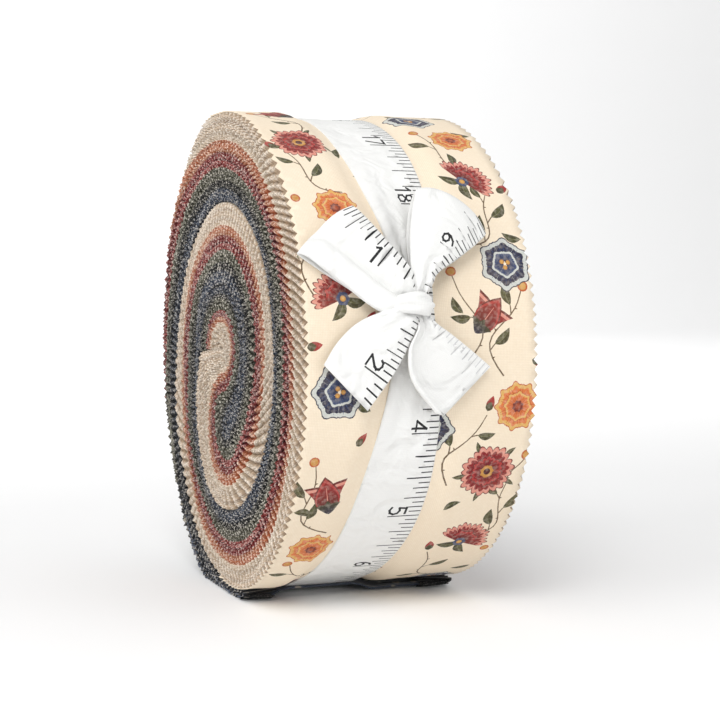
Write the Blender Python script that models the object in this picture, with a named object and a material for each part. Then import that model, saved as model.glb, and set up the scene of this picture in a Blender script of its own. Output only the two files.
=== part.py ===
# Roll of precut quilting strips, tied with a cloth tape.
# The strips lie in one flat stack that is wound from a small hook at the centre.
# X runs along the roll's axis, the bow faces -Y and the roll rests on Z = 0.
# All sizes are in metres.

import math

import bmesh
import bpy
from mathutils import Vector

# --- driving dimensions -------------------------------------------------------

MM = 0.001

STRIP_WIDTH = 0.0635        # cut width of every strip, and so the roll's length
TOOTH_PITCH = 0.0024        # pinked edge, crest to crest
TOOTH_DEPTH = 0.0012        # pinked edge, crest to root
DARK_SHARE = 0.75           # how tightly the teeth crowd on the dark face in the hook
TURN_GAP = 0.0004           # air between one turn of the stack and the next
REST_DEPTH = 0.0668         # from the roll's axis down to its small flat spot

TAPE_WIDTH = 0.0195
TAPE_THICK = 0.0010
TAPE_GAP = 0.0003           # air between the tape and the roll
BAND_STEP = 3.0             # degrees between the tape's facets round the roll
WAIST_DEPTH = 0.0016        # how far the tape draws the roll in
WAIST_MARGIN = 0.0008       # flat part of the waist that shows beside the tape
WAIST_SLOPE = 0.0045        # width of the soft shoulder on each side of the tape

KNOT_ANGLE = 15.0           # degrees up from the front of the roll
KNOT_RADIUS = 0.0055
KNOT_HEIGHT = 0.0080
ARM_START = KNOT_RADIUS + TAPE_GAP

# --- wound form, seen along +X: h points to the front, v points up ------------

HOOK_CENTRE = Vector((-1.0, 2.0)) * MM      # the first strips curl round this point
FOLD_CENTRE = Vector((4.6, -19.0)) * MM     # the stack then turns back round this one
PINCH_RADIUS = 0.8 * MM                     # the small eye left at both centres
HOOK_START = 181.5                          # degrees round the hook's centre
HOOK_END = -75.0

# Outside of the hook, where the first full turn lies on it.
HOOK_RIM = {
    "angle": (-75, -60, -45, -30, 0, 30, 60, 90, 120, 150, 180),
    "radius_mm": (20.9, 20.0, 19.3, 19.2, 20.5, 20.5, 19.5, 18.0, 18.5, 21.0, 22.5),
}

# Pale face of the stack as it turns round the fold centre.
FOLD_TURN = {
    "angle": (105, 120, 135, 140, 145, 150, 155, 165, 180, 195, 210, 225, 240, 255, 270, 285, 300, 315),
    "radius_mm": (20.9, 22.6, 27.4, 29.9, 32.4, 32.2, 31.8, 31.5, 30.9, 29.6, 28.3, 26.9,
                  25.4, 24.7, 24.1, 24.2, 24.8, 26.2),
}

# Pale face of the first full turn, round the roll's axis, and where the dark face
# that is square to it lies on the hook.
FIRST_TURN = {
    "angle": (302, 315, 330, 345, 360, 390, 420, 450, 480, 510, 525, 540),
    "radius_mm": (44.0, 44.3, 44.5, 45.0, 45.5, 45.5, 44.5, 43.0, 42.5, 44.0, 45.7, 48.0),
    "hook_angle": (-75, -60, -42, -24, -6, 28, 60, 90, 120, 150, 165, 179),
}

# Pale face from the crossing beside the hook to the end of the pale strips.
OUTER_FACE = {
    "angle": (180, 195, 210, 225, 240, 255, 270, 300, 330, 360, 390, 420, 450, 480, 510,
              540, 570, 600, 615, 630, 640, 660, 690, 720, 750, 780, 810, 824),
    "radius_mm": (23.2, 25.0, 30.0, 34.5, 38.5, 41.0, 43.0, 44.0, 44.5, 45.5, 45.5, 44.5,
                  43.0, 42.5, 44.0, 48.0, 53.5, 59.0, 61.6, 63.6, 64.9, 67.0, 69.0, 70.0,
                  70.0, 68.8, 68.2, 69.4),
}

# Outside of the stack's end, where the strips stop one after another.
STACK_END = {
    "angle": (824, 829, 836, 844, 855, 870, 885, 900, 915, 930, 945, 960, 968, 975, 982, 990, 999),
    "radius_mm": (69.4, 68.6, 67.2, 66.4, 65.6, 65.0, 63.9, 63.6, 64.0, 64.7, 66.2, 68.2,
                  69.0, 69.2, 67.6, 66.9, 67.7),
}
PALE_END = 824.0            # angle where the outermost pale strips stop
STACK_STOP = 999.0          # angle where the last dark strips stop
EXPOSED_FROM = 641.0        # the outer face shows from here to the stack's end

# Middle of the tape along X, by angle up from the front.
TAPE_LINE = {
    "angle": (-90, -65, -30, 15, 42, 60, 90, 180, 270),
    "x_mm": (-8.0, -7.0, -4.0, -0.5, -1.0, -1.8, -2.7, -5.8, -8.0),
}
# Half the tape's width, gathered towards the knot.
TAPE_HALF = {
    "angle": (-90, -30, 0, 15, 30, 42, 60, 270),
    "half_mm": (9.75, 9.75, 6.4, 4.6, 6.6, 8.7, 9.75, 9.75),
}

# Arms of the bow: name, direction in the face of the knot from +X towards up, kind,
# length against the tables below, and how deep the arm is creased along its middle.
BOW_ARMS = (
    ("tape_loop_left", 139.0, "loop", 1.00, 0.0),
    ("tape_loop_right", 58.0, "loop", 1.05, 0.8 * MM),
    ("tape_tail_left", 240.0, "tail", 1.00, 0.4 * MM),
    ("tape_tail_right", 301.0, "tail", 0.97, 2.2 * MM),
)
# Middle line of a loop, out along its front and back along its rear.
LOOP_LINE = {
    "step": (0, 1, 2, 3, 4, 5, 6, 7, 8, 9, 10, 11),
    "out_mm": (5.8, 9.0, 14.0, 20.0, 25.0, 28.2, 29.0, 27.0, 22.0, 16.0, 10.0, 6.2),
    "lift_mm": (1.6, 3.4, 5.2, 5.8, 5.0, 3.2, 1.2, -0.6, -1.6, -1.8, -1.6, -1.2),
    "half_mm": (3.8, 5.4, 7.6, 9.2, 9.7, 9.75, 9.75, 9.75, 9.0, 7.4, 5.2, 3.8),
}
# Middle line of a tail, which falls back towards the roll.
TAIL_LINE = {
    "step": (0, 1, 2, 3, 4, 5),
    "out_mm": (5.8, 10.0, 15.0, 20.0, 25.0, 30.0),
    "lift_mm": (0.2, 1.8, 2.2, 1.4, -0.4, -2.6),
    "half_mm": (3.0, 5.0, 7.8, 9.4, 9.75, 9.75),
}
GATHER_DEPTH = 0.9 * MM     # ripple across an arm where it leaves the knot
GATHER_REACH = 0.018        # the ripple has died away this far out


# --- helpers ---------------------------------------------------------------------

def smooth(x, xs, ys):
    """Value at x of a smooth curve through the points of a table."""
    x = min(max(x, xs[0]), xs[-1])
    i = 0
    while i < len(xs) - 2 and x > xs[i + 1]:
        i += 1

    def slope(k):
        a = max(k - 1, 0)
        b = min(k + 1, len(xs) - 1)
        return (ys[b] - ys[a]) / (xs[b] - xs[a])

    span = xs[i + 1] - xs[i]
    t = (x - xs[i]) / span
    rise = ys[i + 1] - ys[i]
    start = slope(i) * span
    end = slope(i + 1) * span
    return ys[i] + t * (start + t * (3 * rise - 2 * start - end + t * (start + end - 2 * rise)))


def table(x, columns, name):
    keys = list(columns)
    return smooth(x, columns[keys[0]], columns[name])


def around(centre, angle, radius):
    a = math.radians(angle)
    return centre + Vector((math.cos(a), math.sin(a))) * radius


def soft_step(t):
    t = min(max(t, 0.0), 1.0)
    return t * t * (3 - 2 * t)


def frange(start, stop, step):
    count = max(1, round(abs(stop - start) / step))
    return [start + (stop - start) * i / count for i in range(count + 1)]


def material(name, colour, roughness):
    mat = bpy.data.materials.new(name)
    mat.use_nodes = True
    shader = mat.node_tree.nodes["Principled BSDF"]
    shader.inputs["Base Color"].default_value = (*colour, 1.0)
    shader.inputs["Roughness"].default_value = roughness
    shader.inputs["Metallic"].default_value = 0.0
    return mat


def finish(name, mesh, mat, sharp=50.0):
    """Gives the closed mesh an object, outward faces and smooth shading."""
    bmesh.ops.recalc_face_normals(mesh, faces=mesh.faces)
    data = bpy.data.meshes.new(name)
    mesh.to_mesh(data)
    mesh.free()
    data.materials.append(mat)
    data.shade_smooth()
    data.set_sharp_from_angle(angle=math.radians(sharp))
    obj = bpy.data.objects.new(name, data)
    bpy.context.collection.objects.link(obj)
    return obj


# --- the wound stack -------------------------------------------------------------

def outer_radius(angle):
    """Radius of the roll's outside at an angle that counts on from turn to turn."""
    if angle <= PALE_END:
        return table(angle, OUTER_FACE, "radius_mm") * MM
    return table(angle, STACK_END, "radius_mm") * MM


def outside_at(angle):
    """Point on the roll's outside, with the small flat spot that it rests on."""
    while angle <= STACK_STOP - 360:
        angle += 360
    while angle > STACK_STOP:
        angle -= 360
    point = around(Vector((0, 0)), angle, outer_radius(angle))
    point.y = max(point.y, -REST_DEPTH)
    return point


def stack_sections():
    """Pairs of points across the stack, dark face then pale face, from the centre out."""
    axis = Vector((0, 0))
    sections = []
    for angle in frange(HOOK_START, HOOK_END, 3):
        rim = table(angle, HOOK_RIM, "radius_mm") * MM - TURN_GAP / 2
        sections.append((around(HOOK_CENTRE, angle, rim), around(HOOK_CENTRE, angle, PINCH_RADIUS), 0))
    for angle in frange(FOLD_TURN["angle"][0] + 3, FOLD_TURN["angle"][-1], 3):
        pale = around(FOLD_CENTRE, angle, table(angle, FOLD_TURN, "radius_mm") * MM)
        sections.append((around(FOLD_CENTRE, angle, PINCH_RADIUS), pale, 0))
    for angle in frange(FIRST_TURN["angle"][0] + 2, FIRST_TURN["angle"][-1], 2):
        hook_angle = table(angle, FIRST_TURN, "hook_angle")
        rim = table(hook_angle, HOOK_RIM, "radius_mm") * MM + TURN_GAP / 2
        pale = around(axis, angle, table(angle, FIRST_TURN, "radius_mm") * MM)
        sections.append((around(HOOK_CENTRE, hook_angle, rim), pale, angle))
    for angle in frange(FIRST_TURN["angle"][-1] + 2, STACK_STOP, 1.5):
        dark = around(axis, angle, outer_radius(angle - 360) + TURN_GAP)
        pale = around(axis, angle, outer_radius(angle))
        pale.y = max(pale.y, -REST_DEPTH)
        sections.append((dark, pale, angle))
    return sections


def even_sections(sections, step):
    """The same stack, cut at even steps along its longer face."""
    travel = [0.0]
    for (dark_a, pale_a, _), (dark_b, pale_b, _) in zip(sections, sections[1:]):
        travel.append(travel[-1] + max((dark_b - dark_a).length * DARK_SHARE, (pale_b - pale_a).length))
    count = 2 * round(travel[-1] / (2 * step))
    cut = []
    k = 0
    for i in range(count + 1):
        at = travel[-1] * i / count
        while k < len(travel) - 2 and travel[k + 1] < at:
            k += 1
        t = (at - travel[k]) / (travel[k + 1] - travel[k])
        dark = sections[k][0].lerp(sections[k + 1][0], t)
        pale = sections[k][1].lerp(sections[k + 1][1], t)
        cut.append((dark, pale, sections[k][2] * (1 - t) + sections[k + 1][2] * t))
    return cut


def tape_centre(angle):
    wrapped = (angle + 90) % 360 - 90
    return table(wrapped, TAPE_LINE, "x_mm") * MM


def tape_half(angle):
    wrapped = (angle + 90) % 360 - 90
    return table(wrapped, TAPE_HALF, "half_mm") * MM


def make_roll(mat):
    mesh = bmesh.new()
    rings = []
    for i, (dark, pale, angle) in enumerate(even_sections(stack_sections(), TOOTH_PITCH / 2)):
        half = STRIP_WIDTH / 2 - TOOTH_DEPTH * (i % 2)

        def vert(x, p):
            return mesh.verts.new((x, -p.x, p.y + REST_DEPTH))

        pale_row = [vert(-half, pale)]
        if angle > EXPOSED_FROM:
            centre = tape_centre(angle)
            floor = tape_half(angle) + WAIST_MARGIN
            shoulder = floor + WAIST_SLOPE
            drawn_in = pale - pale.normalized() * WAIST_DEPTH
            for x, p in ((-shoulder, pale), (-floor, drawn_in), (floor, drawn_in), (shoulder, pale)):
                pale_row.append(vert(centre + x, p))
        pale_row.append(vert(half, pale))
        rings.append(([vert(-half, dark), vert(half, dark)], pale_row))

    for (dark_a, pale_a), (dark_b, pale_b) in zip(rings, rings[1:]):
        mesh.faces.new((dark_a[0], dark_b[0], pale_b[0], pale_a[0]))
        mesh.faces.new((dark_a[1], pale_a[-1], pale_b[-1], dark_b[1]))
        mesh.faces.new((dark_a[0], dark_a[1], dark_b[1], dark_b[0]))
        if len(pale_a) == len(pale_b):
            for k in range(len(pale_a) - 1):
                mesh.faces.new((pale_a[k], pale_b[k], pale_b[k + 1], pale_a[k + 1]))
        else:
            for k in range(len(pale_b) - 1):
                mesh.faces.new((pale_a[0], pale_b[k], pale_b[k + 1]))
            mesh.faces.new((pale_a[0], pale_b[-1], pale_a[1]))
    for dark, pale in (rings[0], rings[-1]):
        mesh.faces.new((dark[0], *pale, dark[1]))
    return finish("strip_roll", mesh, mat, sharp=25)


# --- the tape ---------------------------------------------------------------------

def tight_outline(step):
    """Points at even angles on the shortest loop round the roll, as a tight tape takes."""
    points = sorted(tuple(outside_at(angle)) for angle in frange(0, 360, 1)[:-1])

    def half_loop(row):
        loop = []
        for p in row:
            while len(loop) > 1:
                a, b = loop[-2:]
                if (b[0] - a[0]) * (p[1] - a[1]) - (b[1] - a[1]) * (p[0] - a[0]) > 0:
                    break
                loop.pop()
            loop.append(p)
        return loop[:-1]

    loop = half_loop(points) + half_loop(points[::-1])
    outline = []
    for angle in frange(0, 360, step)[:-1]:
        ray = around(Vector((0, 0)), angle, 1.0)
        for a, b in zip(loop, loop[1:] + loop[:1]):
            a, b = Vector(a), Vector(b)
            side_a = ray.cross(a)
            side_b = ray.cross(b)
            if side_a <= 0 < side_b and ray.dot(a + b) > 0:
                outline.append((angle, a.lerp(b, side_a / (side_a - side_b))))
                break
    return outline


def make_band(mat):
    """Closed ring of tape in the waist of the roll, gathered under the knot."""
    mesh = bmesh.new()
    rings = []
    for angle, point in tight_outline(BAND_STEP):
        outward = point.normalized()
        centre = tape_centre(angle)
        half = tape_half(angle)
        ring = []
        for lift, side in ((0, -1), (TAPE_THICK, -1), (TAPE_THICK, 1), (0, 1)):
            p = point + outward * (TAPE_GAP + lift - WAIST_DEPTH)
            ring.append(mesh.verts.new((centre + half * side, -p.x, p.y + REST_DEPTH)))
        rings.append(ring)
    for a, b in zip(rings, rings[1:] + rings[:1]):
        for k in range(4):
            mesh.faces.new((a[k], b[k], b[(k + 1) % 4], a[(k + 1) % 4]))
    return finish("tape_band", mesh, mat)


def knot_frame():
    """Centre of the knot's foot and the directions along, up and out of its face."""
    foot = outside_at(KNOT_ANGLE)
    out2 = foot.normalized()
    foot = foot + out2 * (TAPE_GAP * 2 + TAPE_THICK - WAIST_DEPTH)
    out = Vector((0, -out2.x, out2.y))
    along = Vector((1, 0, 0))
    up = out.cross(along)
    base = Vector((tape_centre(KNOT_ANGLE), -foot.x, foot.y + REST_DEPTH))
    if up.z < 0:
        up = -up
    return base, along, up, out


def make_knot(mat):
    base, along, up, out = knot_frame()
    mesh = bmesh.new()
    sides = 16
    levels = ((0.0, 0.72), (0.12, 0.92), (0.35, 1.0), (0.65, 1.0), (0.88, 0.86), (1.0, 0.55))
    rings = []
    for level, girth in levels:
        ring = []
        for k in range(sides):
            a = 2 * math.pi * k / sides
            reach = KNOT_RADIUS * girth
            p = base + along * (reach * math.cos(a)) + up * (reach * math.sin(a))
            ring.append(mesh.verts.new(p + out * (KNOT_HEIGHT * level)))
        rings.append(ring)
    for a, b in zip(rings, rings[1:]):
        for k in range(sides):
            mesh.faces.new((a[k], a[(k + 1) % sides], b[(k + 1) % sides], b[k]))
    mesh.faces.new(rings[0])
    mesh.faces.new(rings[-1])
    return finish("tape_knot", mesh, mat)


def make_arm(name, direction, kind, length, crease, mat):
    """Ribbon that leaves the knot: a loop runs out and back, a tail only out."""
    base, along, up, out = knot_frame()
    line = LOOP_LINE if kind == "loop" else TAIL_LINE
    a = math.radians(direction)
    run = along * math.cos(a) + up * math.sin(a)
    across = out.cross(run)
    middle = base + out * (KNOT_HEIGHT / 2)
    columns = 6
    centres = []
    for s in frange(0, line["step"][-1], 0.5):
        out_along = ARM_START + (table(s, line, "out_mm") * MM - ARM_START) * length
        centres.append((out_along, table(s, line, "lift_mm") * MM, table(s, line, "half_mm") * MM))
    mesh = bmesh.new()
    rings = []
    for i, (reach, lift, half) in enumerate(centres):
        before = centres[max(i - 1, 0)]
        after = centres[min(i + 1, len(centres) - 1)]
        heading = Vector((after[0] - before[0], after[1] - before[1])).normalized()
        face = run * -heading.y + out * heading.x
        widening = soft_step((reach - ARM_START) / GATHER_REACH)
        ripple = GATHER_DEPTH * (1 - widening)
        top = []
        under = []
        for k in range(columns + 1):
            t = 2 * k / columns - 1
            fold = ripple * math.cos(3 * math.pi * t) + crease * widening * (0.5 - abs(t))
            p = middle + run * reach + out * lift + across * (half * t) + face * fold
            top.append(mesh.verts.new(p + face * (TAPE_THICK / 2)))
            under.append(mesh.verts.new(p - face * (TAPE_THICK / 2)))
        rings.append(top + under[::-1])
    size = len(rings[0])
    for a, b in zip(rings, rings[1:]):
        for k in range(size):
            mesh.faces.new((a[k], b[k], b[(k + 1) % size], a[(k + 1) % size]))
    mesh.faces.new(rings[0])
    mesh.faces.new(rings[-1])
    return finish(name, mesh, mat)


# --- build ------------------------------------------------------------------------

def centre_on_base(objects):
    """Puts the middle of the whole part's footprint at the origin, with its foot at Z = 0."""
    points = [v.co for obj in objects for v in obj.data.vertices]
    low = [min(p[i] for p in points) for i in range(3)]
    high = [max(p[i] for p in points) for i in range(3)]
    shift = Vector(((low[0] + high[0]) / 2, (low[1] + high[1]) / 2, low[2]))
    for obj in objects:
        for v in obj.data.vertices:
            v.co -= shift


def main():
    for obj in list(bpy.data.objects):
        bpy.data.objects.remove(obj, do_unlink=True)
    cloth = material("printed_cotton", (0.80, 0.70, 0.55), 0.92)
    tape = material("white_tape", (0.88, 0.88, 0.87), 0.85)
    made = [make_roll(cloth), make_band(tape), make_knot(tape)]
    for name, direction, kind, length, crease in BOW_ARMS:
        made.append(make_arm(name, direction, kind, length, crease, tape))
    centre_on_base(made)


main()
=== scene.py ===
import math

import bmesh
import bpy
import numpy as np
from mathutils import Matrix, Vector
from mathutils.geometry import delaunay_2d_cdt


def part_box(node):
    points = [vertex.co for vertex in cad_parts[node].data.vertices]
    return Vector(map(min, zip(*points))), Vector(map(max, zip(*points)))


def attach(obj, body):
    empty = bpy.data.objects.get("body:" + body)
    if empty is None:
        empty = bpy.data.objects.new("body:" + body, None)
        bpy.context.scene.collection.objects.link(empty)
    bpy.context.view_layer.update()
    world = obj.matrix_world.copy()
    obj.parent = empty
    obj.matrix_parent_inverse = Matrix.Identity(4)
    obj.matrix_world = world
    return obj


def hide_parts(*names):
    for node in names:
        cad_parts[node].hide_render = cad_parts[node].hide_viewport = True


# Roll of pinked quilting strips tied with a printed tape.
# h points to the front of the roll (-Y), v points up, both from the roll's axis in millimetres.

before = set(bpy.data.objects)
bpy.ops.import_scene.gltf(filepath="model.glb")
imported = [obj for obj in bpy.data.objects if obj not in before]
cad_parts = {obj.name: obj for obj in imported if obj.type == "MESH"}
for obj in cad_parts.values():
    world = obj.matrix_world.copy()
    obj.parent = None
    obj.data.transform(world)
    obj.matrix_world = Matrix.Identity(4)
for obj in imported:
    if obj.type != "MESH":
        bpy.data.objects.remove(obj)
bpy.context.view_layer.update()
mm = 0.001
rng = np.random.default_rng(7)


def smoothCurve(x, xs, ys):
    # smooth curve through the points of a table
    xs, ys = np.asarray(xs, float), np.asarray(ys, float)
    x = np.clip(np.asarray(x, float), xs[0], xs[-1])
    slopes = np.empty_like(ys)
    slopes[1:-1] = (ys[2:] - ys[:-2]) / (xs[2:] - xs[:-2])
    slopes[0] = (ys[1] - ys[0]) / (xs[1] - xs[0])
    slopes[-1] = (ys[-1] - ys[-2]) / (xs[-1] - xs[-2])
    i = np.clip(np.searchsorted(xs, x, side="right") - 1, 0, len(xs) - 2)
    span = xs[i + 1] - xs[i]
    t = (x - xs[i]) / span
    rise = ys[i + 1] - ys[i]
    a, b = slopes[i] * span, slopes[i + 1] * span
    return ys[i] + t * (a + t * (3 * rise - 2 * a - b + t * (a + b - 2 * rise)))


def softStep(t):
    t = np.clip(t, 0, 1)
    return t * t * (3 - 2 * t)


def around(centre, angle, radius):
    a = np.radians(angle)
    return np.stack([centre[0] + np.cos(a) * radius, centre[1] + np.sin(a) * radius], axis=-1)


def travelOf(points):
    # distance travelled along a line at each of its points
    steps = np.linalg.norm(np.diff(points, axis=0), axis=1)
    return np.concatenate([[0], np.cumsum(steps)])


def atTravel(at, travel, line):
    # places on a flat line at travelled distances
    return np.stack([np.interp(at, travel, line[:, k]) for k in (0, 1)], axis=1)


def addObject(name, data):
    obj = bpy.data.objects.new(name, data)
    bpy.context.collection.objects.link(obj)
    return obj


def makeMesh(name, points, faces, mat):
    data = bpy.data.meshes.new(name)
    data.from_pydata([tuple(p) for p in points], [], [tuple(int(i) for i in f) for f in faces])
    data.update()
    data.shade_smooth()
    data.materials.append(mat)
    return addObject(name, data)


def gridFaces(rows, columns, base=0, closed=False):
    # four-sided faces between rows of points; closed joins the last row to the first
    faces = []
    for r in range(rows if closed else rows - 1):
        for c in range(columns - 1):
            a = base + r * columns + c
            b = base + (r + 1) % rows * columns + c
            faces.append((a, a + 1, b + 1, b))
    return faces


def addFact(data, label, values, kind="FLOAT", domain="POINT"):
    made = data.attributes.new(label, kind, domain)
    field = "color" if kind == "FLOAT_COLOR" else "value"
    made.data.foreach_set(field, np.asarray(values, np.float32).ravel())


def putFlat(obj, places):
    # UV map in metres of the flat cloth
    layer = obj.data.uv_layers.new(name="flat")
    corners = np.empty(len(obj.data.loops), int)
    obj.data.loops.foreach_get("vertex_index", corners)
    layer.data.foreach_set("uv", (np.asarray(places)[corners] * mm).astype(np.float32).ravel())


def addThickness(obj, thickness, offset=-1.0):
    modifier = obj.modifiers.new("thickness", "SOLIDIFY")
    modifier.thickness = thickness
    modifier.offset = offset


def applyModifiers(obj):
    # turns the evaluated object into its own plain mesh
    graph = bpy.context.evaluated_depsgraph_get()
    data = bpy.data.meshes.new_from_object(obj.evaluated_get(graph), depsgraph=graph)
    obj.modifiers.clear()
    old = obj.data
    obj.data = data
    bpy.data.meshes.remove(old)


# The wound stack: running angles go round the roll's axis from the front upwards, and on past 360 degrees.

coil = {
    "stripWidth": 63.5,
    "toothPitch": 2.4,
    "toothDepth": 1.2,
    "layers": 80,
    "restDepth": 66.8,        # from the axis down to the small flat spot
    "turnGap": 0.4,
    "hookCentre": (-1.0, 2.0),
    "foldCentre": (4.6, -19.0),
    "pinchRadius": 0.8,
    "hookStart": 185.5,       # round the hook's centre
    "hookEnd": -75.0,
    "foldFrom": 107,          # round the fold's centre
    "foldTo": 315,
    "turnFrom": 304,          # running angles from here on
    "turnTo": 541,
    "shownFrom": 641.0,
    "paleEnd": 824.0,
    "stackStop": 1008.0,
}
hookRim = {
    "angle": (-75, -60, -45, -30, 0, 30, 60, 90, 120, 150, 180),
    "radius": (20.9, 20.0, 19.3, 19.2, 20.5, 20.5, 19.5, 18.0, 18.5, 21.0, 22.5),
}
foldTurn = {
    "angle": (105, 120, 135, 140, 145, 150, 155, 165, 180, 195, 210, 225, 240, 255, 270, 285, 300, 315),
    "radius": (21.6, 23.6, 27.9, 30.1, 32.4, 32.2, 31.8, 31.5, 30.9, 29.6, 28.3, 26.9,
               25.4, 24.7, 24.1, 24.2, 24.8, 26.2),
}
firstTurn = {
    "angle": (302, 315, 330, 345, 360, 390, 420, 450, 480, 510, 525, 540),
    "radius": (44.0, 44.3, 44.5, 45.0, 45.5, 45.5, 44.5, 43.0, 42.5, 44.0, 45.7, 48.0),
    "hookAngle": (-75, -60, -42, -24, -6, 28, 60, 90, 120, 150, 165, 179),
}
outerFace = {
    "angle": (180, 195, 210, 225, 240, 255, 270, 300, 330, 360, 390, 420, 450, 480, 510,
              540, 570, 600, 615, 630, 640, 660, 690, 720, 750, 780, 810, 824),
    "radius": (23.2, 25.0, 30.0, 34.5, 38.5, 41.0, 43.0, 44.0, 44.5, 45.5, 45.5, 44.5,
               43.0, 42.5, 44.0, 48.0, 53.5, 59.0, 61.6, 63.6, 64.9, 67.0, 69.0, 70.0,
               70.0, 68.8, 68.2, 69.4),
}
stackEnd = {
    "angle": (824, 829, 836, 844, 855, 870, 885, 900, 915, 930, 945, 960, 968, 975, 982, 990, 999, 1008),
    "radius": (69.4, 68.6, 67.2, 66.4, 65.6, 65.0, 63.9, 63.6, 64.0, 64.7, 66.2, 68.2,
               69.0, 69.2, 67.6, 66.9, 67.7, 69.4),
}
# share of the stack that is still there, by angle, as its strips stop one after another
leftOver = {
    "angle": (824, 848, 870, 915, 945, 965, 985, 999, 1008),
    "share": (1.0, 0.73, 0.61, 0.44, 0.27, 0.17, 0.09, 0.045, 0.01),
}
# in the hook the outer layers are squeezed and the inner ones are loose
hookShare = {
    "flat": (0, 0.27, 0.43, 0.60, 0.73, 1),
    "curled": (0, 0.18, 0.385, 0.49, 0.59, 1),
    "easedFrom": -20,
    "easedOver": 55,
    "eased": 0.6,
    "foldAngle": (107, 125, 145, 165, 185, 207, 230, 315),
    "foldCurl": (0.4, 0.9, 1.5, 1.3, 0.9, 0.4, 0.0, 0.0),
}


def fromTable(angle, table, column="radius"):
    return smoothCurve(angle, table["angle"], table[column])


def outerRadius(angle):
    angle = np.asarray(angle, float)
    return np.where(angle <= coil["paleEnd"], fromTable(angle, outerFace), fromTable(angle, stackEnd))


def stackSections():
    # across the stack at many places: dark face, pale face, running angle and hook share
    axis, gap, pinch = (0, 0), coil["turnGap"], coil["pinchRadius"]
    a = np.arange(coil["hookStart"], coil["hookEnd"], -2.0)
    eased = softStep((hookShare["easedFrom"] - a) / hookShare["easedOver"])
    parts = [(around(coil["hookCentre"], a, fromTable(a, hookRim) - gap / 2),
              around(coil["hookCentre"], a, pinch), np.zeros_like(a), 1 - hookShare["eased"] * eased)]
    a = np.arange(coil["foldFrom"], coil["foldTo"], 2.0)
    parts.append((around(coil["foldCentre"], a, pinch),
                  around(coil["foldCentre"], a, fromTable(a, foldTurn)), np.zeros_like(a),
                  smoothCurve(a, hookShare["foldAngle"], hookShare["foldCurl"])))
    a = np.arange(coil["turnFrom"], coil["turnTo"], 2.0)
    hookAngle = fromTable(a, firstTurn, "hookAngle")
    parts.append((around(coil["hookCentre"], hookAngle, fromTable(hookAngle, hookRim) + gap / 2),
                  around(axis, a, fromTable(a, firstTurn)), a, np.zeros_like(a)))
    a = np.arange(coil["turnTo"] + 1, coil["stackStop"] + 0.1, 1.0)
    dark = around(axis, a, outerRadius(a - 360) + gap)
    pale = around(axis, a, outerRadius(a))
    pale[:, 1] = np.maximum(pale[:, 1], -coil["restDepth"])
    parts.append((dark, pale, a, np.zeros_like(a)))
    return [np.concatenate([p[k] for p in parts]) for k in range(4)]


darkFace, paleFace, runAngle, curl = stackSections()
shareLeft = np.where(runAngle <= coil["paleEnd"], 1.0, fromTable(runAngle, leftOver, "share"))


def layerShare(f, wobble=None):
    # how far across the stack one layer lies at each place, f from 0 at the dark face to 1 at the pale one
    g = np.minimum(f / shareLeft, 1.0)
    g = g * (1 - curl) + np.interp(g, hookShare["flat"], hookShare["curled"]) * curl
    return g if wobble is None else np.clip(g + wobble * g * (1 - g) * 4, 0, 1)


def layerLine(f, wobble=None):
    line = darkFace + (paleFace - darkFace) * layerShare(f, wobble)[:, None]
    stop = np.searchsorted(-shareLeft, -f) if f < 1 else np.searchsorted(runAngle, coil["paleEnd"])
    return line[:max(stop, 2)], runAngle[:max(stop, 2)]


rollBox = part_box("strip_roll")
frontReach = float(np.max(np.where(runAngle > coil["shownFrom"], paleFace[:, 0], 0)))
axisY = rollBox[0][1] + frontReach * mm
axisX = (rollBox[0][0] + rollBox[1][0]) / 2
axisZ = rollBox[0][2] + coil["restDepth"] * mm
print("coil worked out, axis at", round(axisX, 5), round(axisY, 5), round(axisZ, 5))


def toWorld(x, h, v):
    places = np.broadcast_arrays(axisX + x * mm, axisY - h * mm, axisZ + v * mm)
    return np.stack(places, axis=-1)


def linear(rgb):
    c = np.asarray(rgb, float) / 255
    c = np.where(c <= 0.04045, c / 12.92, ((c + 0.055) / 1.055) ** 2.4)
    return (*[float(v) for v in c], 1.0)


def newTree(name, kind, ins, outs):
    tree = bpy.data.node_groups.new(name, kind)
    for label, socket, *value in ins:
        item = tree.interface.new_socket(label, in_out="INPUT", socket_type="NodeSocket" + socket)
        if value:
            item.default_value = value[0]
    for label, socket in outs:
        tree.interface.new_socket(label, in_out="OUTPUT", socket_type="NodeSocket" + socket)
    return tree, tree.nodes.new("NodeGroupInput").outputs, tree.nodes.new("NodeGroupOutput").inputs


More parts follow.
